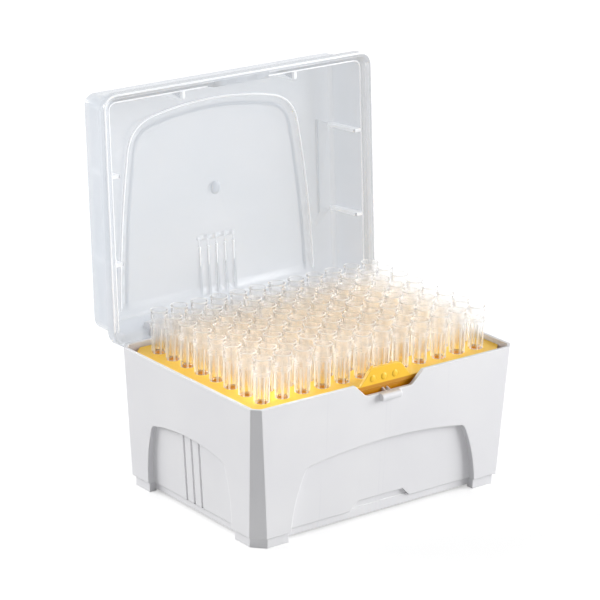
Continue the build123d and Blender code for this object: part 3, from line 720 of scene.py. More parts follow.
# ---------------------------------------------------------------- moulded shells
@dataclass
class MouldedShell:
    """A one-piece moulding whose shape comes with the frame, merged into one skin.

    Args:
        node: Name of the node that carries it.
        name: Name of the finished piece.
        body: Body that it rides on.
        slot: The record's slot of its plastic; not used.
        finish: Its plastic.
        smooth_angle: Edges that bend by more than this, in degrees, stay sharp, or none to
            keep the node's own normals.
    """

    node: str
    name: str
    body: str
    slot: str
    finish: MouldedPlastic
    smooth_angle: float | None = None

    def reshape(self, points: np.ndarray) -> np.ndarray:
        """Move what the finished moulding has elsewhere; a plain shell moves nothing.

        Args:
            points: N by 3 array of positions in millimetres.

        Returns:
            The new positions.
        """
        return points

    @staticmethod
    def keep_normals(mesh: bpy.types.Mesh) -> bpy.types.Attribute:
        """Store the normals of the face corners, which merging would lose.

        Args:
            mesh: The mesh before its points are merged.

        Returns:
            The attribute with them.
        """
        normals = np.empty(len(mesh.loops) * 3, np.float32)
        mesh.corner_normals.foreach_get("vector", normals)
        store = mesh.attributes.new("corner_direction", "FLOAT_VECTOR", "CORNER")
        store.data.foreach_set("vector", normals)
        return store

    @staticmethod
    def restore_normals(mesh: bpy.types.Mesh, kept: str) -> None:
        """Give the merged mesh the stored normals.

        Args:
            mesh: The merged mesh.
            kept: Name of the attribute with the normals.
        """
        normals = np.empty(len(mesh.loops) * 3, np.float32)
        mesh.attributes[kept].data.foreach_get("vector", normals)
        mesh.attributes.remove(mesh.attributes[kept])
        mesh.shade_smooth()
        mesh.normals_split_custom_set(normals.reshape(-1, 3))

    def even_normals(self, piece: bpy.types.Object) -> None:
        """Shade a piece smooth but for its sharp edges, with normals that favour its large faces.

        Args:
            piece: The piece.
        """
        piece.data.shade_smooth()
        piece.data.set_sharp_from_angle(angle=math.radians(self.smooth_angle))
        piece.modifiers.new("even normals", "WEIGHTED_NORMAL").keep_sharp = True

    def dress(self, effects: SharedEffects) -> bpy.types.Object:
        """Merge the loose faces of the node into one even skin and give it its plastic.

        Args:
            effects: The shared node groups.

        Returns:
            The finished piece.
        """
        mesh = frame["nodes"][self.node].data.copy()
        mesh.name = self.name
        kept = self.keep_normals(mesh).name if self.smooth_angle is None else None
        skin = bmesh.new()
        skin.from_mesh(mesh)
        bmesh.ops.remove_doubles(skin, verts=skin.verts, dist=0.002 * MM)
        skin.to_mesh(mesh)
        skin.free()
        points = np.empty(len(mesh.vertices) * 3, np.float32)
        mesh.vertices.foreach_get("co", points)
        moved = self.reshape(points.reshape(-1, 3).astype(float) / MM) * MM
        mesh.vertices.foreach_set("co", moved.astype(np.float32).ravel())
        mesh.update()
        piece = bpy.data.objects.new(self.name, mesh)
        bpy.context.scene.collection.objects.link(piece)
        if kept:
            self.restore_normals(mesh, kept)
        else:
            self.even_normals(piece)
        mesh.materials.clear()
        mesh.materials.append(self.finish.build(effects))
        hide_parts(self.node)
        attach(piece, self.body)
        return piece


@dataclass
class BaseShell(MouldedShell):
    """The white body, with its thumb nub just under the notch.

    Sizes are in millimetres.

    Args:
        nub_drop: How far the nub sits lower than its carrier node.
        nub_half: Half length of the nub, with room.
        reach: Heights between which the carrier's nub and its ribs lie.
        nub_foot: Height of the underside of the carrier's nub, with room.
        notch_foot: Height of the bottom of the notch.
        wall_inner: Inner face of the front wall at the rim, with room.
        wall_outer: Outer face of the front wall at the nub, with room.
    """

    nub_drop: float = 1.8
    nub_half: float = 4.5
    reach: tuple[float, float] = (47.8, 52.0)
    nub_foot: float = 48.1
    notch_foot: float = 49.1
    wall_inner: float = -41.3
    wall_outer: float = -42.0

    def reshape(self, points: np.ndarray) -> np.ndarray:
        """Lower the nub; its two thin ribs then slope down to it.

        Args:
            points: N by 3 array of positions in millimetres.

        Returns:
            The new positions.
        """
        x, y, z = points.T
        low, high = self.reach
        near = (np.abs(x) < self.nub_half) & (y < self.wall_inner) & (z > low) & (z < high)
        moves = near & ((y < self.wall_outer) | (z > self.notch_foot) | (z < self.nub_foot))
        points[moves, 2] -= self.nub_drop
        return points


@dataclass
class DeckPlate(MouldedShell):
    """The yellow plate, whose tab has its bumps as separate domes.

    Sizes are in millimetres.

    Args:
        proud: Depth past which a point is on a bump.
        face: Front face of the tab, under the domes.
        bump_foot: Height under the bumps.
    """

    proud: float = -40.04
    face: float = -39.79
    bump_foot: float = 52.9

    def reshape(self, points: np.ndarray) -> np.ndarray:
        """Press the flat bumps into the tab, where the domes take their place.

        Args:
            points: N by 3 array of positions in millimetres.

        Returns:
            The new positions.
        """
        on_bump = (points[:, 1] < self.proud) & (points[:, 2] > self.bump_foot)
        points[on_bump, 1] = self.face
        return points


@dataclass
class LidShell(MouldedShell):
    """The translucent lid, without the ribs that LidTrim draws.

    Sizes are in millimetres.

    Args:
        rib_reach: Middle of the lid to past the outermost of its short ribs.
        press: How far the carrier's ribs go under the skin.
    """

    rib_reach: float = 12.0
    press: float = 0.03

    def reshape(self, points: np.ndarray) -> np.ndarray:
        """Flatten the five short ribs into the field behind them.

        Args:
            points: N by 3 array of positions in millimetres.

        Returns:
            The new positions.
        """
        lid = LidSpace()
        local = lid.local(points)
        crest = np.abs(local[:, 2] - (lid.ceiling - lid.rib_height)) < ROOT
        ribs = crest & (np.abs(local[:, 0]) < self.rib_reach)
        floor = np.where(local[ribs, 1] < lid.field_back, lid.field, lid.ceiling)
        local[ribs, 2] = floor - self.press
        return lid.world(local)


# ---------------------------------------------------------------- lid
@dataclass(frozen=True)
class LidSpace:
    """The lid's own frame: across, depth away from the front and height over the hinge axis.

    Args:
        ceiling: Height of the inside of the top.
        field: Height of the inside of the arched field.
        field_back: Depth of the hinge side edge of the field.
        rib_height: Height of the carrier's ribs.
        wall_front: Depth of the inner face of the front wall.
        end_wall: Middle of the lid to the inner face of an end wall, at the step.
        mouth: Height of the mouth.
        step: Height of the step between skirt and walls.
        tongue: Depth of the inner face of the latch tongue.
    """

    ceiling: float = 14.70
    field: float = 15.80
    field_back: float = -3.40
    rib_height: float = 0.80
    wall_front: float = -87.61
    end_wall: float = 58.03
    mouth: float = -4.50
    step: float = -1.90
    tongue: float = -87.38

    def axes(self) -> np.ndarray:
        """Directions of the lid as it lies open: across, depth and height as rows."""
        angle = math.radians(frame["joints"][0]["range_deg"][1])
        height = np.array([0.0, math.sin(angle), math.cos(angle)])
        depth = np.array([0.0, math.cos(angle), -math.sin(angle)])
        return np.stack([np.array([1.0, 0.0, 0.0]), depth, height])

    def hinge(self) -> np.ndarray:
        """Place of the hinge axis in millimetres."""
        return np.array(frame["joints"][0]["pos_m"]) / MM

    def world(self, points: np.ndarray) -> np.ndarray:
        """Turn places in the lid into places in the room, in millimetres."""
        return points @ self.axes() + self.hinge()

    def local(self, points: np.ndarray) -> np.ndarray:
        """Turn places in the room into places in the lid, in millimetres."""
        return (points - self.hinge()) @ self.axes().T

    def level(self, line: np.ndarray, height: float) -> np.ndarray:
        """Turn a flat line at one height of the lid into places in the room.

        Args:
            line: Across and depth of each point.
            height: Its height.

        Returns:
            N by 3 array in millimetres.
        """
        return self.world(np.column_stack([line, np.full(len(line), height)]))


@dataclass(frozen=True)
class RimLine:
    """A bead along the front and the two ends of the lid's open edge.

    Sizes are in millimetres.

    Args:
        half: Middle of the lid to the bead on an end.
        front: Depth of the bead on the front.
        start: Depth where it starts at the hinge side.
        corner: Rounding of the corners.
        foot: Height of the edge that carries it.
        width: Half width of the bead.
        rise: Height of the bead; a negative one runs into the lid.
    """

    half: float
    front: float
    start: float
    corner: float
    foot: float
    width: float
    rise: float

    def path(self) -> np.ndarray:
        """Give even points from one end of the bead to the other, across and depth."""
        corners = np.array([
            (-self.half, self.start), (-self.half, self.front),
            (self.half, self.front), (self.half, self.start),
        ])
        return spread(rounded(corners, [0.0, self.corner, self.corner, 0.0], 14))


@dataclass
class LidTrim:
    """Ribs, field line, gate mark, fins and tongue of the lid.

    Sizes are in millimetres in the lid's own frame.

    Args:
        space: The lid's frame.
        finish: Plastic of the lid with a painted highlight, for its ribs, fins and lines.
        body: Plastic of the lid's walls.
        ribs: Number of short ribs.
        rib_pitch: Distance between them.
        rib_span: Depths of their ends.
        rib_half: Half width of a rib.
        rib_rise: Height of a rib over its floor.
        rib_head: Radius of its round head.
        head_rise: Height of the head over the rib.
        long_rib: Middle of the lid to a long rib.
        long_span: Depths of the ends of a long rib.
        wall_ribs: Depths of the ribs on each end wall.
        wall_rib_reach: How far they stand out at the step.
        wall_rib_half: Half their thickness.
        wall_rib_corner: Rounding of their free corner.
        wall_rib_foot: How far up the wall they start.
        wall: How far into an end wall they are rooted.
        wall_lean: Slope of the end walls.
        skirt_half: Middle of the lid to the outside of the skirt.
        skirt_front: Depth of the outside of the skirt.
        skirt_corner: Radius of its corners.
        mouth_inset: From there to the bead of the mouth.
        lining_inset: From there to the lining inside the skirt.
        lining_depth: Height of the lining.
        wall_corner: Radius of the corners inside the walls.
        foot: Half width of the field at the hinge side.
        middle: Half width halfway.
        shoulder: Half width at the front corners.
        shoulder_depth: Depth of the front corners.
        front_depth: Depth of the front edge in the middle.
        corner: Rounding of the front corners.
        line_half: Half width of the line round the field.
        line_rise: Height of that line.
        line_inset: From that line to the fainter one inside it.
        inner_half: Half width of the fainter line.
        inner_rise: Height of the fainter line.
        gate: Half sizes of the gate mark.
        gate_place: Across and depth of the gate mark.
        fin: Middle of the lid to a fin.
        fin_reach: Fin from the front wall.
        fin_thickness: Thickness of a fin.
        fin_corner: Rounding of its free corner.
        fin_end: Height of its lower end.
        fin_root: How deep in the front wall it is rooted above the step.
        tongue_half: Half width of the tongue.
        tongue_flare: How much wider the bar is at its outside.
        tongue_corner: Rounding of its inner corners.
        tongue_depth: Depth of the tongue's bar.
        tongue_height: Height of the bar.
    """

    space: LidSpace
    finish: MouldedPlastic
    body: MouldedPlastic
    ribs: int = 5
    rib_pitch: float = 3.96
    rib_span: tuple[float, float] = (-0.3, -21.3)
    rib_half: float = 0.44
    rib_rise: float = 0.50
    rib_head: float = 0.60
    head_rise: float = 0.15
    long_rib: float = 48.7
    long_span: tuple[float, float] = (-25.6, -63.0)
    wall_ribs: tuple[float, ...] = (-60.13, -26.83)
    wall_rib_reach: float = 3.56
    wall_rib_half: float = 0.64
    wall_rib_corner: float = 0.9
    wall_rib_foot: float = 1.3
    wall: float = 1.12
    wall_lean: float = 0.0966
    skirt_half: float = 61.9
    skirt_front: float = -91.11
    skirt_corner: float = 5.9
    mouth_inset: float = 0.42
    lining_inset: float = 1.52
    lining_depth: float = 2.45
    wall_corner: float = 3.3
    foot: float = 45.6
    middle: float = 43.2
    shoulder: float = 38.0
    shoulder_depth: float = -73.3
    front_depth: float = -78.8
    corner: float = 9.0
    line_half: float = 0.42
    line_rise: float = 0.30
    line_inset: float = 3.4
    inner_half: float = 0.8
    inner_rise: float = 0.04
    gate: tuple[float, float, float] = (2.3, 2.6, 0.42)
    gate_place: tuple[float, float] = (0.6, -43.7)
    fin: float = 25.8
    fin_reach: float = 3.1
    fin_thickness: float = 1.2
    fin_corner: float = 1.3
    fin_end: float = -3.4
    fin_root: float = 0.5
    tongue_half: float = 12.2
    tongue_flare: float = 0.5
    tongue_corner: float = 1.4
    tongue_depth: float = 2.4
    tongue_height: float = 2.2

    def field_line(self) -> np.ndarray:
        """Line round the arched field.

        Two bowed sides and a bowed front meet at corners, which are rounded by a
        quadratic curve.

        Returns:
            Points from the left foot round the front to the right foot.
        """
        back = self.space.field_back
        corner = np.array([-self.shoulder, self.shoulder_depth])
        mirrored = np.array([-1.0, 1.0])
        halfway = np.array([-self.middle, (back + self.shoulder_depth) / 2])
        side = bow(np.array([-self.foot, back]), halfway, corner, 60)
        front = bow(corner, np.array([0.0, self.front_depth]), corner * mirrored, 80)
        side = side[np.linalg.norm(side - corner, axis=1) > self.corner]
        apart = np.minimum(
            np.linalg.norm(front - corner, axis=1), np.linalg.norm(front - corner * mirrored, axis=1)
        )
        front = front[apart > self.corner]
        t = np.linspace(0.0, 1.0, 18)[1:-1, None]
        turn = (1 - t) ** 2 * side[-1] + 2 * t * (1 - t) * corner + t**2 * front[0]
        return np.concatenate([side, turn, front, (turn * mirrored)[::-1], (side * mirrored)[::-1]])

    def inner_line(self) -> np.ndarray:
        """Line round the inside of the field, where its wall ends.

        Returns:
            Points of the field line moved towards the middle of the field.
        """
        line = self.field_line()
        along = np.gradient(line, axis=0)
        along /= np.linalg.norm(along, axis=1)[:, None]
        inward = np.column_stack([-along[:, 1], along[:, 0]])
        middle = np.array([0.0, self.shoulder_depth / 2])
        turn = np.sign(np.sum(inward * (middle - line), axis=1))[:, None]
        return line + inward * turn * self.line_inset

    def rib(
        self, solids: Solids, across: float, span: tuple[float, float], floor: float, rise: float
    ) -> None:
        """Lay a straight rib along the depth of the lid.

        Args:
            solids: What it is added to.
            across: Middle of the lid to the rib.
            span: Depths of its ends.
            floor: Height of the wall that carries it.
            rise: How far it stands out from inside that wall.
        """
        depth = np.linspace(*span, 60)
        path = self.space.level(np.column_stack([np.full(60, across), depth]), floor + ROOT)
        solids.bead(path, -self.space.axes()[2], self.rib_half, rise)

    def top_ribs(self, solids: Solids) -> None:
        """Lay the short ribs with their round heads, and the long ones beside the field.

        Args:
            solids: What they are added to.
        """
        lid = self.space
        across, depth, height = lid.axes()
        size = (self.rib_head, self.rib_head, self.rib_rise + self.head_rise)
        for n in range(self.ribs):
            x = (n - (self.ribs - 1) / 2) * self.rib_pitch
            self.rib(solids, x, self.rib_span, lid.field, self.rib_rise + ROOT)
            head = lid.level(np.array([[x, self.rib_span[1]]]), lid.field + ROOT)[0]
            solids.dome(head, across, depth, -height, size)
        for x in (-self.long_rib, self.long_rib):
            self.rib(solids, x, self.long_span, lid.ceiling, self.rib_rise)

    def end_ribs(self, solids: Solids) -> None:
        """Stand the ribs on the end walls, as plates from the step up to the top.

        Args:
            solids: What they are added to.
        """
        lid = self.space
        depth = lid.axes()[1]
        free = lid.end_wall - self.wall_rib_reach
        rooted = lid.end_wall + self.wall
        foot = lid.step - 0.03
        lean = self.wall_lean * (lid.ceiling - lid.step)
        outline = rounded(
            np.array([
                (rooted, lid.step + self.wall_rib_foot), (lid.end_wall, foot), (free, foot),
                (free, lid.ceiling), (rooted - lean, lid.ceiling),
            ]),
            [0.0, 0.0, self.wall_rib_corner, 0.0, 0.0],
        )
        for hand in (-1.0, 1.0):
            for at in self.wall_ribs:
                side = np.full(len(outline), at + self.wall_rib_half)
                face = lid.world(np.column_stack([hand * outline[:, 0], side, outline[:, 1]]))
                solids.slab(face, depth * (-2 * self.wall_rib_half))

    def fins(self, solids: Solids) -> None:
        """Stand the two fins on the front wall; under the step they clear the rim.

        Args:
            solids: What they are added to.
        """
        lid = self.space
        root, inner = lid.wall_front - self.fin_root, lid.wall_front + self.fin_reach
        clear, step = lid.wall_front + ROOT, lid.step + ROOT
        outline = rounded(
            np.array([
                (clear, self.fin_end), (inner, self.fin_end), (inner, lid.ceiling),
                (root, lid.ceiling), (root, step), (clear, step),
            ]),
            [0.0, self.fin_corner, 0.0, 0.0, 0.0, 0.0],
        )
        for middle in (-self.fin, self.fin):
            x = np.full(len(outline), middle - self.fin_thickness / 2)
            solids.slab(lid.world(np.column_stack([x, outline])), lid.axes()[0] * self.fin_thickness)

    def rim_lines(self) -> tuple[RimLine, ...]:
        """Give the bead of the mouth, the lining inside the skirt and the bead of the step."""
        lid = self.space
        skirt = [
            (self.skirt_half - inset, self.skirt_front + inset, -2.0, self.skirt_corner - inset, lid.mouth)
            for inset in (self.mouth_inset, self.lining_inset)
        ]
        return (
            RimLine(*skirt[0], width=0.40, rise=0.12),
            RimLine(*skirt[1], width=0.07, rise=-self.lining_depth),
            RimLine(lid.end_wall, lid.wall_front, -1.0, self.wall_corner, lid.step, width=0.28, rise=0.12),
        )

    def bright(self) -> Solids:
        """Draw the ribs, the fins and the lines of the field and the mouth, which take the painted
        highlight.

        Returns:
            All of them.
        """
        lid = self.space
        down = -lid.axes()[2]
        solids = Solids()
        self.top_ribs(solids)
        self.end_ribs(solids)
        self.fins(solids)
        field = lid.level(self.field_line(), lid.ceiling + ROOT)
        solids.bead(field, down, self.line_half, self.line_rise + ROOT)
        for line in self.rim_lines():
            solids.bead(lid.level(line.path(), line.foot + 0.04), down, line.width, line.rise)
        return solids

    def plain(self) -> Solids:
        """Draw the gate mark, the inner line of the field and the bar of the latch tongue.

        Returns:
            All of them.
        """
        lid = self.space
        across, depth, height = lid.axes()
        solids = Solids()
        gate = lid.level(np.array([self.gate_place]), lid.field + ROOT)[0]
        solids.dome(gate, across, depth, -height, self.gate)
        inner = lid.level(self.inner_line(), lid.field + ROOT)
        solids.bead(inner, -height, self.inner_half, self.inner_rise + ROOT)
        outer, wide = lid.tongue - self.tongue_depth, self.tongue_half + self.tongue_flare
        corners = np.array([
            (-wide, outer), (-self.tongue_half, lid.tongue), (self.tongue_half, lid.tongue), (wide, outer),
        ])
        outline = rounded(corners, [0.0, self.tongue_corner, self.tongue_corner, 0.0])
        solids.slab(lid.level(outline, lid.mouth + 0.02), height * self.tongue_height)
        return solids

    def dress(self, effects: SharedEffects) -> list[bpy.types.Object]:
        """Build the trim and give it its plastic.

        Args:
            effects: The shared node groups.

        Returns:
            The finished pieces.
        """
        pieces = [self.bright().piece("lid_ribs"), self.plain().piece("lid_marks")]
        for piece, finish in zip(pieces, (self.finish, self.body)):
            piece.data.materials.append(finish.build(effects))
            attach(piece, "lid")
        return pieces


# ---------------------------------------------------------------- deck
@dataclass(frozen=True)
class TipGrid:
    """Places of the tips and their holes, in millimetres.

    Args:
        columns: Tips along the long side.
        rows: Tips along the short side.
        pitch: Distance between tips.
        deck: Height of the deck above the ground.
    """

    columns: int = 12
    rows: int = 8
    pitch: float = 9.0
    deck: float = 52.25

    def column(self, number: int) -> list[np.ndarray]:
        """Say where the axes of one column's tips meet the deck.

        Args:
            number: Number of the column, from nought.

        Returns:
            The places.
        """
        x = (number - (self.columns - 1) / 2) * self.pitch
        depths = [(row - (self.rows - 1) / 2) * self.pitch for row in range(self.rows)]
        return [np.array([x, y, self.deck]) for y in depths]


@dataclass
class DeckTrim:
    """Round hole linings, domed bumps on the finger tab, and the turned-down edge behind the notch.

    Sizes are in millimetres.

    Args:
        grid: Places of the holes.
        finish: Plastic of the deck plate.
        lining: The same in the shade of a hole, painted darker and with a painted glow.
        face: Face of the tab under the domes.
        bumps: Number of bumps.
        pitch: Distance between them.
        shift: Middle of the row from the middle of the box.
        level: Height of their centres.
        size: Half width, half height and rise of a bump.
        lip_half: Half length of the turned-down edge.
        lip_front: Front face of it.
        lip_span: Heights of its foot and its top.
        lip_thickness: Thickness of it.
        hole: Radius of a hole.
        hole_edge: Size of the soft edge at its top.
        hole_outer: Outside radius of its lining.
        hole_depth: Depth of the lining.
        hole_proud: How far the lining stands over the deck.
        around: Points round a hole.
    """

    grid: TipGrid
    finish: MouldedPlastic
    lining: MouldedPlastic
    face: float = -39.79
    bumps: int = 3
    pitch: float = 5.1
    shift: float = -1.0
    level: float = 54.3
    size: tuple[float, float, float] = (1.25, 1.35, 0.34)
    lip_half: float = 17.0
    lip_front: float = -39.24
    lip_span: tuple[float, float] = (46.2, 50.8)
    lip_thickness: float = 1.0
    hole: float = 2.00
    hole_edge: float = 0.08
    hole_outer: float = 2.60
    hole_depth: float = 1.4
    hole_proud: float = 0.012
    around: int = 36

    def holes(self) -> Solids:
        """Line every hole with a square section carried round a circle.

        Returns:
            The linings.
        """
        solids = Solids()
        inner, outer = self.hole, self.hole_outer
        radius = np.array([inner, inner + self.hole_edge, outer, outer, inner])
        level = self.hole_proud - np.array([self.hole_edge, 0.0, 0.0, self.hole_depth, self.hole_depth])
        angle = np.linspace(0.0, 2 * np.pi, self.around, endpoint=False)
        ring = ring_points(radius[:, None], level, angle)
        quads = ring_faces(len(level), self.around)
        for column in range(self.grid.columns):
            for place in self.grid.column(column):
                solids.add(ring + place, [quads])
        return solids

    def tab(self) -> Solids:
        """Build the bumps of the tab and the turned-down edge.

        Returns:
            All of them.
        """
        solids = Solids()
        x, y, z = np.eye(3)
        for n in range(self.bumps):
            across = self.shift + (n - (self.bumps - 1) / 2) * self.pitch
            solids.dome(np.array([across, self.face, self.level]), x, z, -y, self.size)
        # The lip takes the deck's finish, whose painted shade makes it darker orange.
        foot, top = self.lip_span
        outline = np.array([
            (-self.lip_half, self.lip_front, foot), (self.lip_half, self.lip_front, foot),
            (self.lip_half, self.lip_front, top), (-self.lip_half, self.lip_front, top),
        ])
        solids.slab(outline, y * self.lip_thickness)
        return solids

    def dress(self, effects: SharedEffects) -> list[bpy.types.Object]:
        """Build the trim and give it its plastic.

        Args:
            effects: The shared node groups.

        Returns:
            The finished pieces.
        """
        pieces = [self.tab().piece("tab_bumps"), self.holes().piece("hole_linings")]
        for piece, finish in zip(pieces, (self.finish, self.lining)):
            piece.data.materials.append(finish.build(effects))
            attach(piece, "box")
        return pieces


# ---------------------------------------------------------------- tips
@dataclass
class TipRack:
    """Ninety-six clear pipette tips that stand in the holes of the deck.

    Sizes are in millimetres; heights are measured from the deck.

    Args:
        grid: Places of the tips.
        finish: Plastic of the walls of the tips.
        edge: The same with a painted highlight, at lips, rings and ribs.
        stem: The same at the stem, whose wall is thin.
        mouth: Height of the mouth.
        length: Whole length of a tip.
        lip_radius: Outside of the lip.
        lip_height: Height of the lip.
        collar_radius: Outside of the collar under the lip.
        foot_radius: Outside of the ribs at the deck.
        core_top: Tube between the ribs under the rings.
        core_foot: Tube between the ribs at the deck.
        ribs: Upright ribs around the collar.
        rib_top: Height at which the ribs run out into the round collar.
        rib_sharpness: Power that narrows a rib.
        rib_mark: Share of a rib's height over which it has the painted highlight of an edge.
        rings: Heights of the fine rings.
        ring_rise: How far a ring stands out.
        ring_half: Half its height.
        ring_slope: Height of the slope above and below it.
        stem_radius: Stem at the deck.
        end_radius: Outside at the lower end.
        socket_radius: Inside at the mouth.
        socket_foot: Inside at the floor of the socket.
        bore: Inside at the deck.
        orifice: Inside at the lower end.
        around: Points around a tip.
        crowding: Share by which the points gather at the ribs.
        seed: Seed of the turn of each tip.
    """

    grid: TipGrid
    finish: MouldedPlastic
    edge: MouldedPlastic
    stem: MouldedPlastic
    mouth: float = 16.65
    length: float = 51.0
    lip_radius: float = 3.38
    lip_height: float = 0.38
    collar_radius: float = 3.12
    foot_radius: float = 2.95
    core_top: float = 2.74
    core_foot: float = 2.40
    ribs: int = 6
    rib_top: float = 10.3
    rib_sharpness: float = 8.0
    rib_mark: float = 0.20
    rings: tuple[float, ...] = (11.9, 11.3, 10.75)
    ring_rise: float = 0.09
    ring_half: float = 0.13
    ring_slope: float = 0.08
    stem_radius: float = 1.72
    end_radius: float = 0.45
    socket_radius: float = 2.72
    socket_foot: float = 2.05
    bore: float = 1.30
    orifice: float = 0.25
    around: int = 72
    crowding: float = 0.55
    seed: int = 11

    def outside(self) -> np.ndarray:
        """Outer profile from the mouth down to the orifice.

        Returns:
            Heights, radii between the ribs and radii over the ribs, as columns.
        """
        top, end = self.mouth, self.mouth - self.length
        lip, collar, foot = self.lip_radius, self.collar_radius, self.foot_radius
        round_rows = [
            (top, lip - 0.30), (top - 0.05, lip - 0.12), (top - 0.16, lip),
            (top - self.lip_height + 0.12, lip), (top - self.lip_height, lip - 0.07),
            (top - self.lip_height - 0.22, collar),
        ]
        for height in self.rings:
            above, below = height + self.ring_half, height - self.ring_half
            round_rows += [
                (above + self.ring_slope, collar - 0.02), (above, collar + self.ring_rise),
                (below, collar + self.ring_rise), (below - self.ring_slope, collar - 0.02),
            ]
        round_rows.append((self.rib_top + 0.20, collar - 0.03))
        ribbed_rows = [
            (self.rib_top - 0.15, self.core_top, collar - 0.08),
            (self.rib_top * 0.5, (self.core_top + self.core_foot) / 2, (collar + foot) / 2 - 0.05),
            (0.35, self.core_foot, foot),
            (0.10, self.core_foot, foot - 0.06),
            (0.03, self.core_foot - 0.05, foot - 0.22),
        ]
        stem_rows = [
            (0.03, self.stem_radius), (end + 0.3, self.end_radius + 0.03), (end, self.end_radius - 0.1),
        ]
        upper, lower = [
            [(height, radius, radius) for height, radius in rows] for rows in (round_rows, stem_rows)
        ]
        return np.array(upper + ribbed_rows + lower)

    def inside(self) -> np.ndarray:
        """Inner profile from the orifice up to the mouth.

        Returns:
            Heights and radii, as columns.
        """
        top, end = self.mouth, self.mouth - self.length
        return np.array([
            (end, self.orifice), (end + 12.0, 0.62), (0.6, self.bore), (1.4, self.bore + 0.15),
            (1.9, self.socket_foot), (top * 0.55, (self.socket_foot + self.socket_radius) / 2),
            (top - 2.2, self.socket_radius - 0.10), (top - 0.25, self.socket_radius),
            (top - 0.06, self.socket_radius + 0.18),
        ])

    def rib_wave(self, shift: float) -> tuple[np.ndarray, np.ndarray]:
        """Angles around a tip, and how far a rib stands out at each.

        The angles are even ones less a share of the sine of their multiple by the ribs, so
        that points gather at the ribs. The wave repeats with the ribs: it is a power of a
        raised cosine.

        Args:
            shift: Angle in radians from the first even one.

        Returns:
            The angles, and the share of a rib's reach.
        """
        even = np.linspace(0.0, 2.0 * np.pi, self.around, endpoint=False) + shift
        angle = even - self.crowding * np.sin(self.ribs * even) / self.ribs
        return angle, ((1.0 + np.cos(self.ribs * angle)) / 2.0) ** self.rib_sharpness

    def tip(self, turn: float) -> np.ndarray:
        """Points of one tip, a closed surface of revolution with ribs.

        At each height the radius is the core's plus the rib's reach times the wave. The
        outer grid runs down from the mouth, the inner one back up, and the last ring of
        each joins the first of the other.

        Args:
            turn: Angle in radians that the ribs start at.

        Returns:
            Points around the tip's own axis.
        """
        angle, wave = self.rib_wave(0.0)
        height, core, over = self.outside().T
        up, bore = self.inside().T
        outer = core[:, None] + (over - core)[:, None] * wave[None, :]
        inner = np.repeat(bore[:, None], self.around, axis=1)
        return ring_points(np.concatenate([outer, inner]), np.concatenate([height, up]), angle + turn)

    def marks(self) -> np.ndarray:
        """Tell which finish each face of one tip has.

        Returns:
            One on the lip, the rings and the ribs, two on the stem and nought elsewhere,
            in the order of the faces.
        """
        _, wave = self.rib_wave(np.pi / self.around)
        height, up = self.outside()[:, 0], self.inside()[:, 0]
        middle = (height[:-1] + height[1:]) / 2
        lip = middle > self.mouth - self.lip_height - 0.02
        ring = np.any(np.abs(middle[:, None] - np.array(self.rings)[None, :]) < 0.03, axis=1)
        ribbed = (middle < self.rib_top) & (middle > 0.03)
        outer = ((lip | ring)[:, None] | (ribbed[:, None] & (wave > self.rib_mark)[None, :])).astype(int)
        outer[middle < 0.0] = 2
        inner = np.where((np.append(up[1:], up[-1]) + up) / 2 < 0.3, 2, 0)
        rest = np.repeat(np.append(2, inner)[:, None], self.around, axis=1)
        return np.concatenate([outer, rest]).ravel()

    def dress(self, effects: SharedEffects) -> list[bpy.types.Object]:
        """Build every column of tips.

        Args:
            effects: The shared node groups.

        Returns:
            One object for each column.
        """
        materials = [finish.build(effects) for finish in (self.finish, self.edge, self.stem)]
        quads = ring_faces(len(self.outside()) + len(self.inside()), self.around)
        marked = np.tile(self.marks(), self.grid.rows).astype(np.int32)
        chance = np.random.default_rng(self.seed)
        pieces = []
        for column in range(self.grid.columns):
            solids = Solids()
            for place in self.grid.column(column):
                solids.add(self.tip(chance.uniform(0.0, 2.0 * np.pi / self.ribs)) + place, [quads])
            piece = solids.piece(f"tip_column_{column + 1:02d}")
            for material in materials:
                piece.data.materials.append(material)
            piece.data.polygons.foreach_set("material_index", marked)
            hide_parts(f"tips_column_{column + 1:02d}")
            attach(piece, "box")
            pieces.append(piece)
        return pieces


# ---------------------------------------------------------------- studio
@dataclass(frozen=True)
class Lamp:
    """A square soft light that faces the box.

    Args:
        name: Name of the light.
        place: Where it hangs, in metres.
        size: Side of the square in metres.
        power: Power in watts.
    """

    name: str
    place: tuple[float, float, float]
    size: float
    power: float

    def hang(self, aim: Vector) -> None:
        """Hang the light.

        Args:
            aim: Point that it faces, in metres.
        """
        data = bpy.data.lights.new(self.name, "AREA")
        data.shape = "SQUARE"
        data.size = self.size
        data.energy = self.power
        lamp = bpy.data.objects.new(self.name, data)
        lamp.location = self.place
        lamp.rotation_euler = (aim - Vector(self.place)).to_track_quat("-Z", "Y").to_euler()
        bpy.context.scene.collection.objects.link(lamp)


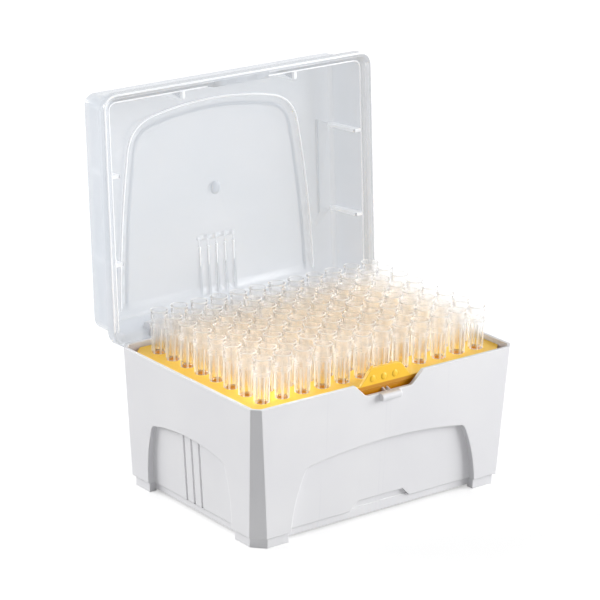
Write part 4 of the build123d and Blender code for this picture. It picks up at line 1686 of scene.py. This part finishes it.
@dataclass
class Studio:
    """Camera, floor and soft light.

    Args:
        azimuth: Bearing of the view in degrees; nought looks along the depth.
        elevation: Height of the camera over the horizon, in degrees.
        roll: Turn of the camera about its line of sight, in degrees.
        distance: Camera to the point looked at, in metres.
        aim: Point looked at.
        lens: Focal length for a 36 mm sensor.
        floor_half: Half side of the floor in metres.
        floor_lift: Light that the floor adds for rays that look at it, to show white.
        room_light: Strength of the room for rays that light, and for rays that look.
        lamps: The lamps.
        lamp_aim: Point that they face.
    """

    azimuth: float = -37.764
    elevation: float = 18.890
    roll: float = 0.968
    distance: float = 1.0843
    aim: tuple[float, float, float] = (-0.00188, 0.00894, 0.06954)
    lens: float = 175.93
    floor_half: float = 6.0
    floor_lift: float = 0.50
    room_light: tuple[float, float] = (0.455, 1.0)
    lamps: tuple[Lamp, ...] = (
        Lamp("right", (0.98, -0.62, 0.36), 0.8, 15.5),
        Lamp("left_back", (-1.0, 1.5, 0.8), 1.2, 34.0),
    )
    lamp_aim: tuple[float, float, float] = (0.0, 0.0, 0.06)

    def axes(self) -> Matrix:
        """Rotation of the camera.

        Returns:
            Its right, up and back directions as columns.
        """
        az, el = math.radians(self.azimuth), math.radians(self.elevation)
        back = Vector((math.sin(az) * math.cos(el), -math.cos(az) * math.cos(el), math.sin(el)))
        right = (-back).cross(Vector((0, 0, 1))).normalized()
        up = right.cross(-back)
        turn = math.radians(self.roll)
        rolled = right * math.cos(turn) + up * math.sin(turn)
        upright = up * math.cos(turn) - right * math.sin(turn)
        return Matrix((rolled, upright, back)).transposed()

    def camera(self) -> None:
        """Place the camera."""
        data = bpy.data.cameras.new("view")
        data.lens = self.lens
        data.sensor_width = 36.0
        data.clip_end = 50.0
        view = bpy.data.objects.new("view", data)
        turned = self.axes()
        eye = Vector(self.aim) + turned.col[2] * self.distance
        view.matrix_world = Matrix.Translation(eye) @ turned.to_4x4()
        bpy.context.scene.collection.objects.link(view)
        bpy.context.scene.camera = view

    def floor(self) -> None:
        """Lay the floor, which shows white to the camera and keeps the shadow."""
        corners = np.array([(-1.0, -1.0, 0.0), (1.0, -1.0, 0.0), (1.0, 1.0, 0.0), (-1.0, 1.0, 0.0)])
        floor = mesh_object("floor", corners * self.floor_half, [np.array([[0, 1, 2, 3]])])
        material = bpy.data.materials.new("floor_paper")
        material.use_nodes = True
        wiring = Wiring(material.node_tree)
        paper = material.node_tree.nodes["Principled BSDF"]
        paper.inputs["Base Color"].default_value = srgb(205, 205, 205)
        paper.inputs["Roughness"].default_value = 0.9
        paper.inputs["Specular IOR Level"].default_value = 0.1
        lift = wiring.reckon("MULTIPLY", self.seen_by_eye(wiring), self.floor_lift)
        glow = wiring.add("ShaderNodeEmission", {"Color": grey(1.0), "Strength": lift}).outputs["Emission"]
        both = wiring.add("ShaderNodeAddShader", {0: paper.outputs["BSDF"], 1: glow}).outputs["Shader"]
        wiring.feed(both, material.node_tree.nodes["Material Output"].inputs["Surface"])
        floor.data.materials.append(material)

    @staticmethod
    def seen_by_eye(wiring: Wiring) -> Socket:
        """Tell the rays that look from the rays that light.

        Args:
            wiring: Wiring of the floor or the room.

        Returns:
            One for camera, mirror and see-through rays, and nought for others and for
            all that have left a surface to light it.
        """
        path = wiring.add("ShaderNodeLightPath").outputs
        seen = wiring.reckon("MAXIMUM", path["Is Camera Ray"], path["Is Transmission Ray"])
        seen = wiring.reckon("MAXIMUM", seen, path["Is Glossy Ray"])
        return wiring.reckon("MULTIPLY", seen, wiring.reckon("LESS_THAN", path["Diffuse Depth"], 0.5))

    def room(self) -> None:
        """Fill the room with even light, and show it white."""
        world = bpy.data.worlds.new("room")
        world.use_nodes = True
        bpy.context.scene.world = world
        wiring = Wiring(world.node_tree)
        walls = world.node_tree.nodes["Background"].inputs
        wiring.feed(grey(1.0), walls["Color"])
        wiring.feed(wiring.stretch(self.seen_by_eye(wiring), (0.0, 1.0), self.room_light), walls["Strength"])

    def build(self) -> None:
        """Set up the whole studio."""
        bpy.context.scene.view_settings.view_transform = "Standard"
        self.camera()
        self.floor()
        self.room()
        for lamp in self.lamps:
            lamp.hang(Vector(self.lamp_aim))


# ---------------------------------------------------------------- assembly
def main() -> None:
    """Dress the frame, build the tips and set up the studio."""
    logging.basicConfig(level=logging.INFO, format="%(name)s: %(message)s")
    effects = SharedEffects()
    grid = TipGrid()
    shells = [
        BaseShell("base", "base_shell", "box", "base_plastic", BOX_WHITE),
        DeckPlate("tray", "deck_plate", "box", "deck_plastic", DECK_YELLOW),
        LidShell("lid", "lid_shell", "lid", "lid_plastic", LID_FROST, 38.0),
    ]
    pieces = [shell.dress(effects) for shell in shells]
    pieces += DeckTrim(grid, DECK_YELLOW, HOLE_PAINTED_SHADE_GLOW).dress(effects)
    pieces += LidTrim(LidSpace(), LID_PAINTED_HIGHLIGHT, LID_FROST).dress(effects)
    pieces += TipRack(grid, TIP_CLEAR, TIP_PAINTED_HIGHLIGHT, TIP_STEM).dress(effects)
    for piece in pieces:
        LOG.info("%s: %d faces", piece.name, len(piece.data.polygons))
    Studio().build()


if __name__ == "__main__":
    main()
